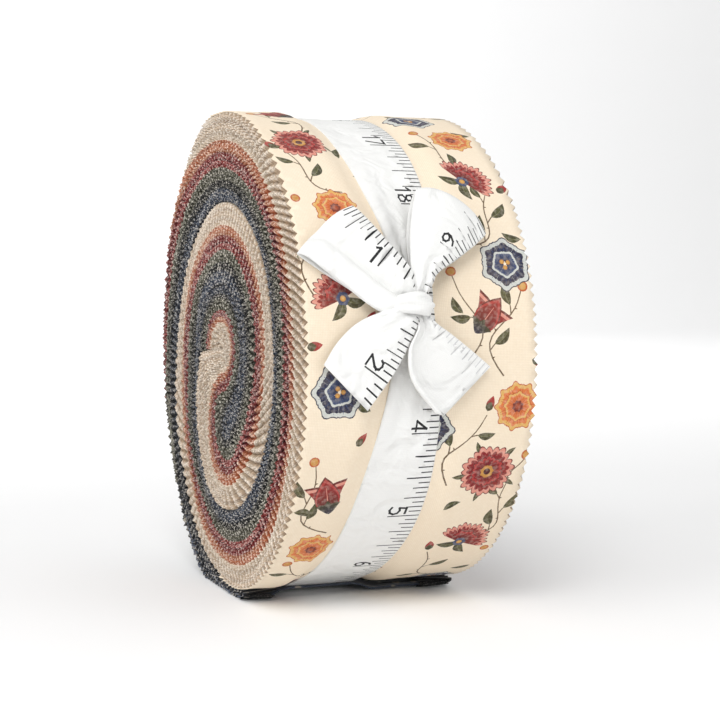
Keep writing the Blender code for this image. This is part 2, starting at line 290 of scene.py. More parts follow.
class Graph:
    # short way to write a node tree: most calls add one node and return its first output
    def __init__(self, tree):
        self.tree = tree

    def put(self, socket, value):
        if hasattr(value, "is_linked"):
            self.tree.links.new(value, socket)
        elif value is not None:
            socket.default_value = value

    def node(self, kind, inputs=(), **settings):
        made = self.tree.nodes.new(kind)
        for key, value in settings.items():
            setattr(made, key, value)
        items = inputs.items() if isinstance(inputs, dict) else enumerate(inputs)
        for key, value in items:
            self.put(made.inputs[key], value)
        return made

    def math(self, operation, *values):
        return self.node("ShaderNodeMath", values, operation=operation).outputs[0]

    def times(self, a, b):
        return self.math("MULTIPLY", a, b)

    def combine(self, x, y, z):
        return self.node("ShaderNodeCombineXYZ", (x, y, z)).outputs[0]

    def split(self, vector):
        return self.node("ShaderNodeSeparateXYZ", [vector]).outputs

    def mix(self, share, a, b):
        made = self.node("ShaderNodeMix", data_type="RGBA", blend_type="MIX")
        for place, value in ((0, share), (6, a), (7, b)):
            self.put(made.inputs[place], value)
        return made.outputs[2]

    def ramp(self, value, low, high):
        return self.node("ShaderNodeMapRange", (value, low, high, 0.0, 1.0)).outputs[0]

    def spots(self, value, limits, below, above):
        # lays one colour over another where the value is past its limits: from, to, and how much
        low, high, most = limits
        return self.mix(self.times(self.ramp(value, low, high), most), below, above)

    def fact(self, label, output="Fac"):
        return self.node("ShaderNodeAttribute", attribute_name=label).outputs[output]

    def named(self, label):
        return self.node("GeometryNodeInputNamedAttribute", {"Name": label}, data_type="FLOAT").outputs[0]

    def flat(self):
        return self.node("ShaderNodeUVMap", uv_map="flat").outputs[0]

    def noise(self, place, scale, detail, roughness=0.5, distortion=0.0):
        inputs = {"Vector": place, "Scale": scale, "Detail": detail, "Roughness": roughness,
                  "Distortion": distortion}
        return self.node("ShaderNodeTexNoise", inputs).outputs["Fac"]

    def bump(self, height, strength, distance, normal=None):
        inputs = {"Strength": strength, "Distance": distance, "Height": height, "Normal": normal}
        return self.node("ShaderNodeBump", inputs).outputs[0]

    def weave(self, flat, yarn):
        # height of a plain weave, and how deep it is between yarns, which sets the painted shade there
        made = self.node("ShaderNodeGroup", {}, node_tree=weaveGroup)
        self.put(made.inputs["Place"], flat)
        self.put(made.inputs["Yarn"], yarn)
        return made.outputs["Height"], self.math("SUBTRACT", 1.0, made.outputs["Shade"])


def makeWeaveGroup():
    # plain weave on a flat coordinate in metres: gives a height, and a share for the painted shade between
    # yarns
    tree, inlet, outlet = newTree("plainWeave", "ShaderNodeTree",
                                  [("Place", "Vector"), ("Yarn", "Float", 0.0004)],
                                  [("Height", "Float"), ("Shade", "Float")])
    g = Graph(tree)
    turns = g.math("DIVIDE", math.pi, inlet["Yarn"])
    across, down = [g.times(side, turns) for side in g.split(inlet["Place"])[:2]]
    warp, weft = [g.math("ABSOLUTE", g.math("SINE", side)) for side in (across, down)]
    halves = [g.math("SINE", g.times(side, 0.5)) for side in (across, down)]
    yarns = g.times(warp, weft)
    over = g.times(g.times(*halves), 0.35)
    tree.links.new(g.math("ADD", yarns, over), outlet["Height"])
    tree.links.new(yarns, outlet["Shade"])
    return tree


weaveGroup = makeWeaveGroup()


def newMaterial(name, roughness, sheen):
    mat = bpy.data.materials.new(name)
    mat.use_nodes = True
    shader = mat.node_tree.nodes["Principled BSDF"]
    shader.inputs["Roughness"].default_value = roughness
    shader.inputs["Sheen Weight"].default_value = sheen
    shader.inputs["Sheen Roughness"].default_value = 0.5
    shader.inputs["Specular IOR Level"].default_value = 0.2
    return mat, Graph(mat.node_tree), shader.inputs


# Cloth of the coiled ends.
# strips from the dark face of the stack to the pale one: name, how many, dyes of the prints
stripGroups = (
    ("navy", 7, ((76, 85, 103), (50, 58, 74), (128, 138, 152), (88, 97, 112))),
    ("black", 4, ((40, 42, 44), (58, 60, 60), (36, 42, 48))),
    ("sage", 6, ((134, 132, 116), (106, 106, 92), (156, 152, 138), (92, 92, 82))),
    ("red", 7, ((154, 69, 68), (178, 100, 96), (112, 50, 58), (200, 147, 139))),
    ("rust", 5, ((196, 146, 118), (210, 173, 148), (182, 120, 95))),
    ("ivory", 5, ((232, 220, 205), (216, 205, 192), (238, 228, 215))),
    ("cream", 6, ((232, 220, 205), (216, 205, 192), (238, 228, 215), (210, 197, 184))),
)
dyeMix = {"shared": 0.55, "own": 0.45, "uneven": (0.95, 1.05)}
clothEnds = {
    "thickness": 0.00108,     # of a layer 4 mm in; its cut edge is a third of that
    "reachIn": 0.004,
    "clearance": 0.0001,      # least height over the floor
    "spacing": 0.29,          # mm between layers where that thickness is right
    "swell": (0.6, 2.2),      # least and most share of that thickness
    "edgesPerLayer": {"ivory": 2, "cream": 2},
    "unevenEdge": 0.035,      # mm that one edge usually stands in front of the next
    "edgeLimits": (-0.7, 0.5),
    "dyeNoise": (0.97, 1.03),
    # noise in mm of an edge and of its points: where layers stand in line, and what looser layers add
    "edgeNoise": (0.02, 0.12),
    "pointNoise": (0.015, 0.08),
    # cuts at the notches and the crests, as shares of a tooth: from, to, and what looser layers add
    "notch": (0.95, 1.1, -0.6),
    "crest": (-0.05, 0.02, 0.45),
    # waves of neighbouring edges: mm, mm along a layer, turn from layer to layer, start
    "drift": ((0.22, 19, 0.05, 0), (0.16, 7.3, 0.11, 1)),
    "bandWander": 0.03,       # how far the colour bands wander, as a share of the stack
    "wanderWaves": ((0.5, 31, 1), (0.35, 17.3, 0), (0.2, 9.1, 0)),
    # how far the bands are pressed towards the dark face, by running angle
    "pressedAt": (670, 720, 790, 815),
    "pressed": (0.0, 0.1, 0.1, 0.0),
    # places from here on are counted in sections of the stack
    # how far the teeth of the outer layers lag, per mm across the stack
    "leanAt": (212, 235, 263, 290, 308, 330, 400, 442, 487, 532, 570, 622, 802, 821),
    "lean": (-0.3, -0.45, -0.9, -0.2, 0.6, 1.1, 0.5, -0.1, 0.1, 0.45, 0.9, 0.1, 0.3, 0.5),
    # how far each layer's teeth are from standing in line with the next, in teeth
    "scatterAt": (0, 150, 205, 225, 240, 250, 268, 282, 292, 320, 335, 350, 420, 450, 500, 560, 600, 622,
                  700, 725, 800, 821),
    "scatter": (0.5, 0.5, 0.45, 0.26, 0.2, 0.42, 0.42, 0.12, 0.03, 0.03, 0.08, 0.3, 0.36, 0.26, 0.14, 0.16,
                0.36, 0.4, 0.36, 0.25, 0.2, 0.2),
    # before these places the dark side is more scattered than the pale one
    "evenFrom": (550, 600),
    "darkSide": {"middle": 1.2, "depth": 5, "limits": (0.55, 3.0)},
    "noSlip": 212,
    # painted shade: the single edges darken towards the stack's end, where its outer run lies in the roll's
    # shade
    "paintedShadeRun": (690, 760),
    "paintedShadeLeast": 0.55,
}
# colours with the share that is mixed into the dye; dark serves the dark print and flecks, and the painted
# shade in the notches
edgeLook = {
    "pale": ((240, 232, 220), 0.64),
    "dark": ((22, 18, 20), 0.12),
    "deepen": 2.4,
    "layerStep": 0.0009,
    "printScale": 620.0,
    "fleck": 0.00055,
    # noise from, noise to, and how much of the colour is laid on
    "palePrint": (0.52, 0.62, 0.45),
    "darkPrint": (0.46, 0.36, 0.6),
    "paleFleck": (0.53, 0.6, 0.9),
    "darkFleck": (0.47, 0.4, 0.8),
    "paleBack": 0.3,
    "frontFrom": (0.2, 0.5),
    # painted shade: each tooth darkens from its crest towards its notch, where shade falls between teeth
    "notch": (0.03, 0.46),
    "bump": (0.6, 0.0004),
}


def makeEdgeMaterial():
    mat, g, surface = newMaterial("pinkedCotton", 0.92, 0.1)
    look = edgeLook
    dye = g.fact("dye", "Color")
    side, along, layer, tooth = [g.fact(label) for label in ("side", "along", "layer", "tooth")]
    place = g.combine(along, g.times(layer, look["layerStep"]), 0.0)
    figure = g.noise(place, look["printScale"], 2.0, 0.6)
    fine = g.noise(g.node("ShaderNodeTexCoord").outputs["Object"], 1 / look["fleck"], 1.0)
    pale = g.mix(look["pale"][1], dye, linear(look["pale"][0]))
    # dark: for the dark print and flecks, and for the painted shade in the notches
    deep = g.node("ShaderNodeGamma", [dye, look["deepen"]]).outputs[0]
    dark = g.mix(look["dark"][1], deep, linear(look["dark"][0]))
    printed = g.spots(figure, look["palePrint"], dye, pale)
    printed = g.spots(figure, look["darkPrint"], printed, dark)
    worn = g.spots(fine, look["paleFleck"], printed, pale)
    worn = g.spots(fine, look["darkFleck"], worn, dark)
    back = g.mix(look["paleBack"], dye, pale)
    colour = g.mix(g.ramp(side, *look["frontFrom"]), back, worn)
    # painted shade in the notches between teeth, laid over the printed colour
    g.put(surface["Base Color"], g.mix(g.ramp(tooth, *look["notch"]), colour, dark))
    g.put(surface["Normal"], g.bump(fine, *look["bump"]))
    return mat


def makePinkTree():
    # sweeps each layer's line into a pinked edge, at both ends of the roll
    wanted = (("Layers", "Geometry"), ("Thickness", "Float"), ("Tooth depth", "Float"), ("Reach in", "Float"),
              ("Half width", "Float"), ("Axis", "Vector"), ("Cloth", "Material"))
    tree, inlet, outlet = newTree("pinkedEdges", "GeometryNodeTree", wanted, [("Edges", "Geometry")])
    g = Graph(tree)
    curve = g.node("GeometryNodeMeshToCurve", {"Mesh": inlet["Layers"]}).outputs[0]
    curve = g.node("GeometryNodeSetCurveNormal", {"Curve": curve}, mode="Z_UP").outputs[0]
    half = g.times(inlet["Thickness"], 0.5)
    reach = inlet["Reach in"]
    ends = {"Start": g.combine(g.times(half, -1.0), reach, 0.0),
            "Middle": g.combine(0.0, g.times(reach, -1.25), 0.0),
            "End": g.combine(half, reach, 0.0)}
    profile = g.node("GeometryNodeCurveQuadraticBezier", {"Resolution": 3, **ends}).outputs[0]
    factor = g.node("GeometryNodeSplineParameter").outputs["Factor"]
    profile = g.node("GeometryNodeStoreNamedAttribute",
                     {"Geometry": profile, "Name": "side", "Value": factor}, data_type="FLOAT").outputs[0]
    swept = g.node("GeometryNodeCurveToMesh",
                   {"Curve": curve, "Profile Curve": profile, "Scale": g.named("swell")}).outputs[0]
    drawn = g.split(g.node("GeometryNodeInputPosition").outputs[0])
    axis = g.split(inlet["Axis"])
    cut = g.times(g.named("tooth"), inlet["Tooth depth"])
    proud = g.math("ADD", g.math("SUBTRACT", drawn[2], cut), g.named("shift"))
    endX = g.math("ADD", inlet["Half width"], proud)
    y = g.math("SUBTRACT", axis[1], drawn[0])
    z = g.math("MAXIMUM", g.math("ADD", axis[2], drawn[1]), clothEnds["clearance"])
    join = g.node("GeometryNodeJoinGeometry")
    for sign in (1.0, -1.0):
        x = g.math("ADD", axis[0], g.times(endX, sign))
        spot = g.combine(x, y, z)
        end = g.node("GeometryNodeSetPosition", {"Geometry": swept, "Position": spot}).outputs[0]
        if sign > 0:
            end = g.node("GeometryNodeFlipFaces", {"Mesh": end}).outputs[0]
        tree.links.new(end, join.inputs[0])
    real = g.node("GeometryNodeRealizeInstances", {"Geometry": join.outputs[0]}).outputs[0]
    real = g.node("GeometryNodeSetMaterial", {"Geometry": real, "Material": inlet["Cloth"]}).outputs[0]
    tree.links.new(real, outlet[0])
    return tree


def setInputs(modifier, values):
    # a modifier's inputs are reached through their sockets' identifiers
    for item in modifier.node_group.interface.items_tree:
        if item.in_out == "INPUT" and item.name in values:
            modifier[item.identifier] = values[item.name]


def alongStack(at, name):
    # a table of the coiled ends, read at places along the stack
    return np.interp(at, clothEnds[name + "At"], clothEnds[name])


def toothPoints(line, own):
    # half teeth along a layer: in line with the layers beside it after the fold, and unslipped before it
    n = len(line)
    at = np.arange(n)
    travel = travelOf(line)
    across = np.sum((line - midLine[:n]) * acrossWay[:n], axis=1)
    k = clothEnds["noSlip"]
    inLine = midTravel[:n] + alongStack(at, "lean") * across
    inLine[:k] = inLine[k] + travel[:k] - travel[k]
    side = clothEnds["darkSide"]
    darker = np.clip(side["middle"] - across / side["depth"], *side["limits"]) - 1
    scatter = alongStack(at, "scatter") * (1 + np.interp(at, clothEnds["evenFrom"], (1, 0)) * darker)
    phase = inLine / coil["toothPitch"] + own * scatter
    phase = np.maximum.accumulate(phase + at * 1e-6)
    halves = np.arange(math.ceil(phase[0] * 2), math.floor(phase[-1] * 2) + 1)
    at = np.interp(halves / 2, phase, travel)
    return atTravel(at, travel, line), at, halves % 2, travel


def bandWander(s):
    # slow waves of the whole stack, so that its colour bands aren't drawn with a compass
    slow = sum(np.sin(s / length + start) * size for size, length, start in clothEnds["wanderWaves"])
    return clothEnds["bandWander"] * slow - alongStack(runAngle[:len(s)], "pressed")


midLine = (darkFace + paleFace) / 2
midTravel = travelOf(midLine)
stackDepth = np.linalg.norm(paleFace - darkFace, axis=1)
acrossWay = (paleFace - darkFace) / stackDepth[:, None]
pinkTree = makePinkTree()
edgeMaterial = makeEdgeMaterial()
stripDyes = []
for groupName, count, dyes in stripGroups:
    for k in range(count):
        own = np.array(dyes[(k * 3 + 1) % len(dyes)])
        tone = np.mean(dyes, axis=0) * dyeMix["shared"] + own * dyeMix["own"]
        stripDyes.append((groupName, np.clip(tone * rng.uniform(*dyeMix["uneven"]), 0, 255)))
layersPerStrip = coil["layers"] // len(stripDyes)


def layerEdge(k, width, wander):
    # points, teeth and looks of one cut edge, as wide as a share of a layer
    ends = clothEnds
    dye = stripDyes[int(k) // layersPerStrip][1] * rng.uniform(*ends["dyeNoise"])
    low, high = k / coil["layers"], (k + width) / coil["layers"]
    line, _ = layerLine((low + high) / 2, wander)
    points, at, tooth, travel = toothPoints(line, rng.uniform(-1, 1))
    spacing = stackDepth * (layerShare(high, wander) - layerShare(low, wander))
    swell = np.interp(at, travel, spacing[:len(line)]) / ends["spacing"]
    n = len(points)
    index = np.interp(at, travel, np.arange(len(line)))
    loose = alongStack(index, "scatter")
    drift = sum(size * np.sin(at / length + k * turn + start) for size, length, turn, start in ends["drift"])
    still, more = ends["edgeNoise"]
    shift = rng.normal(0, ends["unevenEdge"]) + drift + rng.normal(0, still + more * loose)
    still, more = ends["pointNoise"]
    points = points + rng.normal(0, still + more * loose[:, None], (n, 2))
    low, high, more = ends["notch"]
    notch = rng.uniform(low + more * loose, high)
    low, high, more = ends["crest"]
    crest = rng.uniform(low, high + more * loose)
    # painted shade on the single edges towards the stack's end
    shade = np.ones((n, 4))
    if width == 1:
        shade[:, :3] = np.interp(index, ends["paintedShadeRun"], (1, ends["paintedShadeLeast"]))[:, None]
    return {"co": np.column_stack([points, np.zeros(n)]) * mm, "tooth": np.where(tooth > 0, notch, crest),
            "shift": np.clip(shift, *ends["edgeLimits"]) * mm, "along": at * mm,
            "swell": np.clip(swell, *ends["swell"]), "layer": np.full(n, float(k)),
            "dye": linear(dye) * shade}


def makeCoilEnds():
    made = []
    wander = bandWander(midTravel)
    for groupName, _, _ in stripGroups:
        width = 1 / clothEnds["edgesPerLayer"].get(groupName, 1)
        owned = [k for k in range(coil["layers"]) if stripDyes[k // layersPerStrip][0] == groupName]
        edges = [layerEdge(k, width, wander) for k in np.arange(owned[0], owned[-1] + 1, width)]
        facts = {label: np.concatenate([edge[label] for edge in edges]) for label in edges[0]}
        ends = np.cumsum([len(edge["along"]) for edge in edges])
        total = int(ends[-1])
        first = np.setdiff1d(np.arange(total - 1), ends - 1)
        data = bpy.data.meshes.new("coilEdges_" + groupName)
        data.vertices.add(total)
        data.vertices.foreach_set("co", facts["co"].ravel())
        data.edges.add(len(first))
        data.edges.foreach_set("vertices", np.column_stack([first, first + 1]).ravel())
        for label in ("tooth", "shift", "along", "layer", "swell"):
            addFact(data, label, facts[label])
        addFact(data, "dye", facts["dye"], "FLOAT_COLOR")
        obj = addObject("coilEdges_" + groupName, data)
        modifier = obj.modifiers.new("pinkedEdges", "NODES")
        modifier.node_group = pinkTree
        setInputs(modifier, {"Thickness": clothEnds["thickness"], "Tooth depth": coil["toothDepth"] * mm,
                             "Reach in": clothEnds["reachIn"], "Half width": coil["stripWidth"] / 2 * mm,
                             "Axis": (axisX, axisY, axisZ), "Cloth": edgeMaterial})
        applyModifiers(obj)
        obj.data.shade_flat()
        made.append(obj)
    return made


coilEnds = makeCoilEnds()
print("coiled ends:", sum(len(o.data.polygons) for o in coilEnds) * 2, "triangles")


# Printed motifs: flat outlines in millimetres, each with an inner and an outer ink.

def turned(points, angle, place=(0, 0), size=1.0):
    a = math.radians(angle)
    p = np.asarray(points, float) * size
    return np.stack([p[:, 0] * math.cos(a) - p[:, 1] * math.sin(a) + place[0],
                     p[:, 0] * math.sin(a) + p[:, 1] * math.cos(a) + place[1]], axis=1)


def strokeShape(points, startWidth, endWidth):
    # a drawn line as a thin closed outline
    p = np.asarray(points, float)
    d = np.gradient(p, axis=0)
    d /= np.maximum(np.linalg.norm(d, axis=1, keepdims=True), 1e-9)
    side = np.stack([-d[:, 1], d[:, 0]], axis=1) * np.linspace(startWidth, endWidth, len(p))[:, None] / 2
    return np.concatenate([p + side, (p - side)[::-1]])


def bentLine(start, stop, bend, count):
    start, stop = np.asarray(start, float), np.asarray(stop, float)
    run = stop - start
    side = np.array([-run[1], run[0]])
    t = np.linspace(0, 1, count)[:, None]
    return start + run * t + side * bend * 4 * t * (1 - t) + side * bend * 0.5 * np.sin(2 * math.pi * t)


def leafShape(length, width, bend=0.15, count=8):
    t = np.linspace(0, 1, count)
    half = width / 2 * np.sin(math.pi * t ** 0.85) ** 0.9
    mid = bend * length * 4 * t * (1 - t)
    top = np.stack([t * length, mid + half], axis=1)
    low = np.stack([t * length, mid - half], axis=1)[::-1]
    return np.concatenate([top, low[1:-1]]), np.stack([t * length, mid], axis=1)


def fanPetal(length, width, lobes, depth):
    # petal with a narrow foot and a scalloped far edge
    a = np.linspace(-1, 1, 5 * lobes + 1)
    edge = length * (1 - 0.16 * a * a) * (1 - depth + depth * np.abs(np.cos(a * lobes * math.pi / 2)))
    far = np.stack([edge * np.cos(a * width / 2), edge * np.sin(a * width / 2)], axis=1)
    foot = np.array([[length * 0.12, length * 0.05], [length * 0.12, -length * 0.05]])
    return np.concatenate([far, foot])


def blobShape(radius, lobes=0, depth=0.0, count=16):
    a = np.linspace(0, 2 * math.pi, count, endpoint=False)
    r = radius * (1 + depth * np.cos(a * lobes))
    return np.stack([r * np.cos(a), r * np.sin(a)], axis=1)


ink = {
    "ground": (240, 225, 202),
    "red": (136, 24, 38), "wine": (96, 16, 32), "plum": (60, 18, 32), "pink": (216, 142, 128),
    "coral": (170, 52, 56), "navy": (26, 38, 66), "blue": (52, 74, 112), "paleBlue": (200, 204, 200),
    "gold": (218, 172, 98), "honey": (188, 130, 62), "orange": (214, 116, 62), "amber": (180, 78, 44),
    "olive": (78, 84, 56), "moss": (50, 56, 40), "sage": (112, 114, 82), "vine": (92, 74, 54),
}
# inks of a petal: outline, rim, field and heart
petalInks = {
    "red": ("wine", "pink", "red", "wine"),
    "innerRed": ("plum", "coral", "red", "plum"),
    "blue": ("navy", "paleBlue", "navy", "blue"),
    "innerBlue": ("navy", "paleBlue", "blue", "navy"),
    "orange": ("amber", "gold", "orange", "amber"),
}


class Print:
    # collects the outlines of a print in the order in which they are laid on
    # the numbers of each motif are shares of its own size, and angles in degrees
    def __init__(self):
        self.shapes = []

    def lay(self, points, inner, outer=None, centre=None, reach=1.0):
        points = np.asarray(points, float)
        x, y = points.T
        if np.sum(x * np.roll(y, -1) - y * np.roll(x, -1)) < 0:
            points = points[::-1]
        centre = points.mean(axis=0) if centre is None else np.asarray(centre, float)
        self.shapes.append((points, linear(ink[inner]), linear(ink[outer or inner]), centre, reach))

    def stroke(self, points, startWidth, endWidth, name, turn=0, place=(0, 0)):
        self.lay(turned(strokeShape(points, startWidth, endWidth), turn, place), name)

    def leaf(self, place, length, angle, bend=0.15, width=0.42):
        outline, mid = leafShape(length, length * width, bend)
        self.lay(turned(outline, angle, place), "olive", "moss", None, length * 0.5)
        half = np.concatenate([mid[1:-1], outline[len(mid):]])
        self.lay(turned(half, angle, place), "moss", "olive", None, length * 0.6)
        self.stroke(mid[:-1], 0.26, 0.08, "sage", angle, place)

    def vine(self, start, stop, bend, leaves=(), thorns=3, width=0.42):
        line = bentLine(start, stop, bend, 14)
        for share, side, length in leaves:
            k = min(int(share * 13), 12)
            heading = line[k + 1] - line[k]
            angle = math.degrees(math.atan2(heading[1], heading[0])) + side
            a = math.radians(angle)
            tip = line[k] + np.array([math.cos(a), math.sin(a)]) * length * 0.35
            self.stroke([line[k], (line[k] + tip) / 2, tip], width * 0.9, width * 0.7, "vine")
            self.leaf(tip, length, angle + side * 0.12, 0.12 if side > 0 else -0.12)
        for k in range(thorns):
            at = 2 + (k * 4) % 11
            heading = (line[at + 1] - line[at]) / np.linalg.norm(line[at + 1] - line[at])
            side = np.array([-heading[1], heading[0]]) * (1 if k % 2 else -1)
            point = line[at] + side * 0.8 + heading * 0.2
            self.lay([line[at] - heading * 0.3, point, line[at] + heading * 0.35], "vine")
        self.stroke(line, width, width * 0.7, "vine")

    def petalRing(self, place, size, turn, petals, spread, lobes, inks):
        # ring of fan petals: dark outline, pale rim, field that darkens towards the heart
        line, rim, field, heart = petalInks[inks]
        width = math.radians(abs(spread) * 1.12)
        for k in petals:
            angle = turn + spread * k
            for share, one, two in ((1.0, line, line), (0.955, rim, rim), (0.80, heart, field)):
                shape = fanPetal(size * share, width * (1.1 - 0.14 / share), lobes, 0.14)
                self.lay(turned(shape, angle, place), one, two, place, size * 0.72)
            for tilt in (-0.22, 0.0, 0.22):
                vein = [[size * 0.25, size * tilt * 0.3], [size * 0.5, size * tilt * 0.55],
                        [size * 0.72, size * tilt]]
                self.stroke(vein, size * 0.035, size * 0.012, heart, angle, place)

    def dot(self, place, radius, inks, reach, turn=0, **shape):
        self.lay(turned(blobShape(radius, **shape), turn, place), *inks, place, reach)

    def nested(self, outline, turn, place, sizes, inks, reach):
        # one outline in three sizes: line, rim and a field that changes towards its tip
        line, rim, heart, field = inks
        self.lay(turned(outline, turn, place), line)
        self.lay(turned(outline, turn, place, sizes[0]), rim)
        self.lay(turned(outline, turn, place, sizes[1]), heart, field, place, reach)

    def rosette(self, place, size, turn=0):
        for k in range(5):
            angle = turn + 72 * k + 36
            foot = np.asarray(place) + turned([[size * 0.72, 0]], angle)[0]
            self.leaf(foot, size * 0.5, angle, 0.05, 0.36)
        self.petalRing(place, size, turn, range(7), 360 / 7, 3, "red")
        self.petalRing(place, size * 0.6, turn + 24, range(6), 60, 3, "innerRed")
        self.dot(place, size * 0.23, ("gold", "honey"), size * 0.23, turn, lobes=9, depth=0.12)
        self.dot(place, size * 0.12, ("wine", "plum"), size * 0.1)

    def halfRose(self, place, size, turn=90):
        self.leaf(place, size * 0.75, turn + 122, 0.15)
        self.leaf(place, size * 0.75, turn - 122, -0.15)
        self.petalRing(place, size, turn, (-2, 2, -1, 1, 0), 34, 3, "red")
        self.petalRing(place, size * 0.62, turn, (-1, 1, 0), 38, 2, "innerRed")
        self.dot(place, size * 0.2, ("navy", "blue"), size * 0.2, turn, lobes=6, depth=0.1)
        self.dot(place, size * 0.09, ("gold", "honey"), size * 0.1)

    def tulip(self, place, size, turn=90):
        for side in (-1, 1):
            outline, _ = leafShape(size * 1.05, size * 0.5, -0.22 * side)
            self.nested(outline, turn + 30 * side, place, (0.93, 0.84), ("wine", "pink", "wine", "red"),
                        size * 0.8)
        outline, mid = leafShape(size * 1.1, size * 0.62, 0.0)
        self.nested(outline, turn, place, (0.94, 0.85), ("wine", "coral", "plum", "red"), size * 0.9)
        self.stroke(mid[1:-2], 0.35, 0.12, "pink", turn, place)
        for side in (-1, 0, 1):
            outline, _ = leafShape(size * 0.42, size * 0.2, -0.2 * side)
            self.lay(turned(outline, turn + 46 * side, place), "navy", "moss", place, size * 0.4)

    def cornflower(self, place, size, turn=0):
        self.petalRing(place, size, turn, range(6), 60, 2, "blue")
        self.petalRing(place, size * 0.55, turn + 30, range(5), 72, 2, "innerBlue")
        for k in range(3):
            spot = np.asarray(place) + turned([[size * 0.13, 0]], 120 * k + turn)[0]
            self.dot(spot, size * 0.085, ("gold", "honey"), size * 0.08, count=10)

    def daisy(self, place, size, turn=0):
        self.petalRing(place, size, turn, range(9), 40, 2, "orange")
        self.petalRing(place, size * 0.62, turn + 20, range(8), 45, 2, "orange")
        self.dot(place, size * 0.22, ("amber", "wine"), size * 0.2, turn, lobes=8, depth=0.12)

    def berry(self, place, size):
        self.dot(place, size, ("honey", "amber"), size, count=12)
        self.dot(place, size * 0.72, ("gold", "honey"), size, count=12)

    def bud(self, place, size, turn):
        for length, width, inks in ((size, 0.55, ("wine", "coral")), (size * 0.6, 0.5, ("moss", "olive"))):
            outline, _ = leafShape(length, size * width, 0.0)
            self.lay(turned(outline, turn, place), *inks, place, size)


def cutCloth(outline, shapes, extra, ground):
    # triangles of a flat cloth cut along its own edge and along every motif, with an ink at each corner
    points, faces = [tuple(p) for p in outline], [list(range(len(outline)))]
    for shape in shapes:
        faces.append(list(range(len(points), len(points) + len(shape[0]))))
        points.extend(tuple(p) for p in shape[0])
    points.extend(tuple(p) for p in extra)
    flat, _, cut, _, _, owners = delaunay_2d_cdt([Vector(p) for p in points], [], faces, 0, 1e-4)
    flat = np.array([tuple(p) for p in flat])
    kept, tops = [], []
    for face, owner in zip(cut, owners):
        if 0 in owner:
            kept.append(face)
            tops.append(max(owner) - 1)
    used, kept = np.unique(np.array(kept), return_inverse=True)
    flat, triangles, tops = flat[used], kept.reshape(-1, 3), np.array(tops)
    dyes = np.tile(np.array(linear(ground)), (len(triangles), 3, 1))
    for k, (_, inner, outer, centre, reach) in enumerate(shapes):
        rows = np.where(tops == k)[0]
        if len(rows):
            far = np.linalg.norm(flat[triangles[rows]] - centre, axis=2) / reach
            share = softStep(far)[..., None]
            dyes[rows] = np.array(inner) * (1 - share) + np.array(outer) * share
    return flat, triangles, dyes


def makeCutMesh(name, flat, triangles, dyes, places, material):
    obj = makeMesh(name, places, triangles, material)
    addFact(obj.data, "dye", dyes, "FLOAT_COLOR", "CORNER")
    putFlat(obj, flat)
    return obj


# The outer cloth, and the waist that the tape draws into it. Angles are degrees up from the front.

tape = {
    "centre": {"angle": (-90, -65, -30, 15, 42, 60, 90, 180, 270),
               "x": (-8, -7, -4, -0.5, -1, -1.8, -2.7, -5.8, -8)},
    "half": {"angle": (-90, -30, 0, 15, 30, 42, 60, 270), "x": (9.75, 9.75, 6.4, 4.6, 6.6, 8.7, 9.75, 9.75)},
    "waistDepth": 1.6,
    "waistMargin": 0.8,
    "waistSlope": 4.5,
    "swell": 0.18,
    "swellOut": 1.5,
    "swellWidth": 2.2,
    "joinAngle": 15.0,        # the join lies under the knot
    "zeroAngle": 58.0,        # where topNumber stands; the numbers fall from there on
    "topNumber": 17,
}
wrap = {
    "start": 628.0,           # running angle where the outer cloth comes out from under the dark strips
    "lift": 0.36,
    "thickness": 0.0003,
    "foldRadius": 0.35,
    "turnedBack": 5.0,
    "gridAlong": 1.9,
    "gridAcross": 2.1,
    "gridHalf": 30.2,
    "gridStart": 0.7,
    "edgeLayer": 0.994,       # the layer whose teeth the cloth's edges follow
    "notch": (0.85, 1.1),
    "crest": (0, 0.12),
}
# colours of the cotton, each with how it is laid over the print
clothLook = {
    "yarn": 0.00042,
    "light": ((255, 246, 230), 900.0, (0.45, 0.7, 0.16)),
    # painted shade between the yarns: its colour and how much is laid on
    "between": ((150, 120, 90), 0.14),
    "stain": ((214, 180, 140), 45.0, (0.4, 0.65, 0.06)),
    "bump": (0.35, 0.0001),
}


def tapeTable(angle, name):
    return fromTable((angle + 90) % 360 - 90, tape[name], "x")


def waist(angle, x):
    # how far the tape draws the cloth in
    beside = np.abs(x - tapeTable(angle, "centre")) - tapeTable(angle, "half") - tape["waistMargin"]
    drawn = tape["waistDepth"] * (1 - softStep(beside / tape["waistSlope"]))
    out = beside - tape["waistSlope"] - tape["swellOut"]
    return drawn - tape["swell"] * np.exp(-(out / tape["swellWidth"]) ** 2)


def stripPath(f, start, stop, lift, foldRadius, turnedBack):
    # runs along one layer to the strip's end, round its fold and back below
    a = np.append(np.arange(start, stop, 1.0), stop)
    outside = runAngle > coil["turnTo"]
    share = np.interp(a, runAngle[outside], shareLeft[outside])
    g = np.minimum(f / share, 1)[:, None]
    dark, pale = [atTravel(a, runAngle[outside], face[outside]) for face in (darkFace, paleFace)]
    top = dark + (pale - dark) * g + around((0, 0), a, 1.0) * lift
    heading = top[-1] - top[-2]
    heading /= np.linalg.norm(heading)
    inward = np.array([-heading[1], heading[0]])
    centre = top[-1] + inward * foldRadius
    turn = np.linspace(0, math.pi, 8)[1:, None]
    fold = centre - inward * foldRadius * np.cos(turn) + heading * foldRadius * np.sin(turn)
    # the turned part keeps to the run above it
    travel = travelOf(top)
    at = travel[-1] - np.arange(1.0, turnedBack + 0.1, 1.0)
    line = np.concatenate([top, fold, atTravel(at, travel, top) + inward * 2 * foldRadius])
    return line, np.concatenate([a, np.full(len(fold), stop), np.interp(at, travel, a)])


def onPath(line, angles, at, x):
    # world places at travelled distances at, and x across the strip
    travel = travelOf(line)
    h, v = atTravel(at, travel, line).T
    angle = np.interp(at, travel, angles)
    drawn = waist(angle, x)
    return toWorld(x, h - np.cos(np.radians(angle)) * drawn, v - np.sin(np.radians(angle)) * drawn)


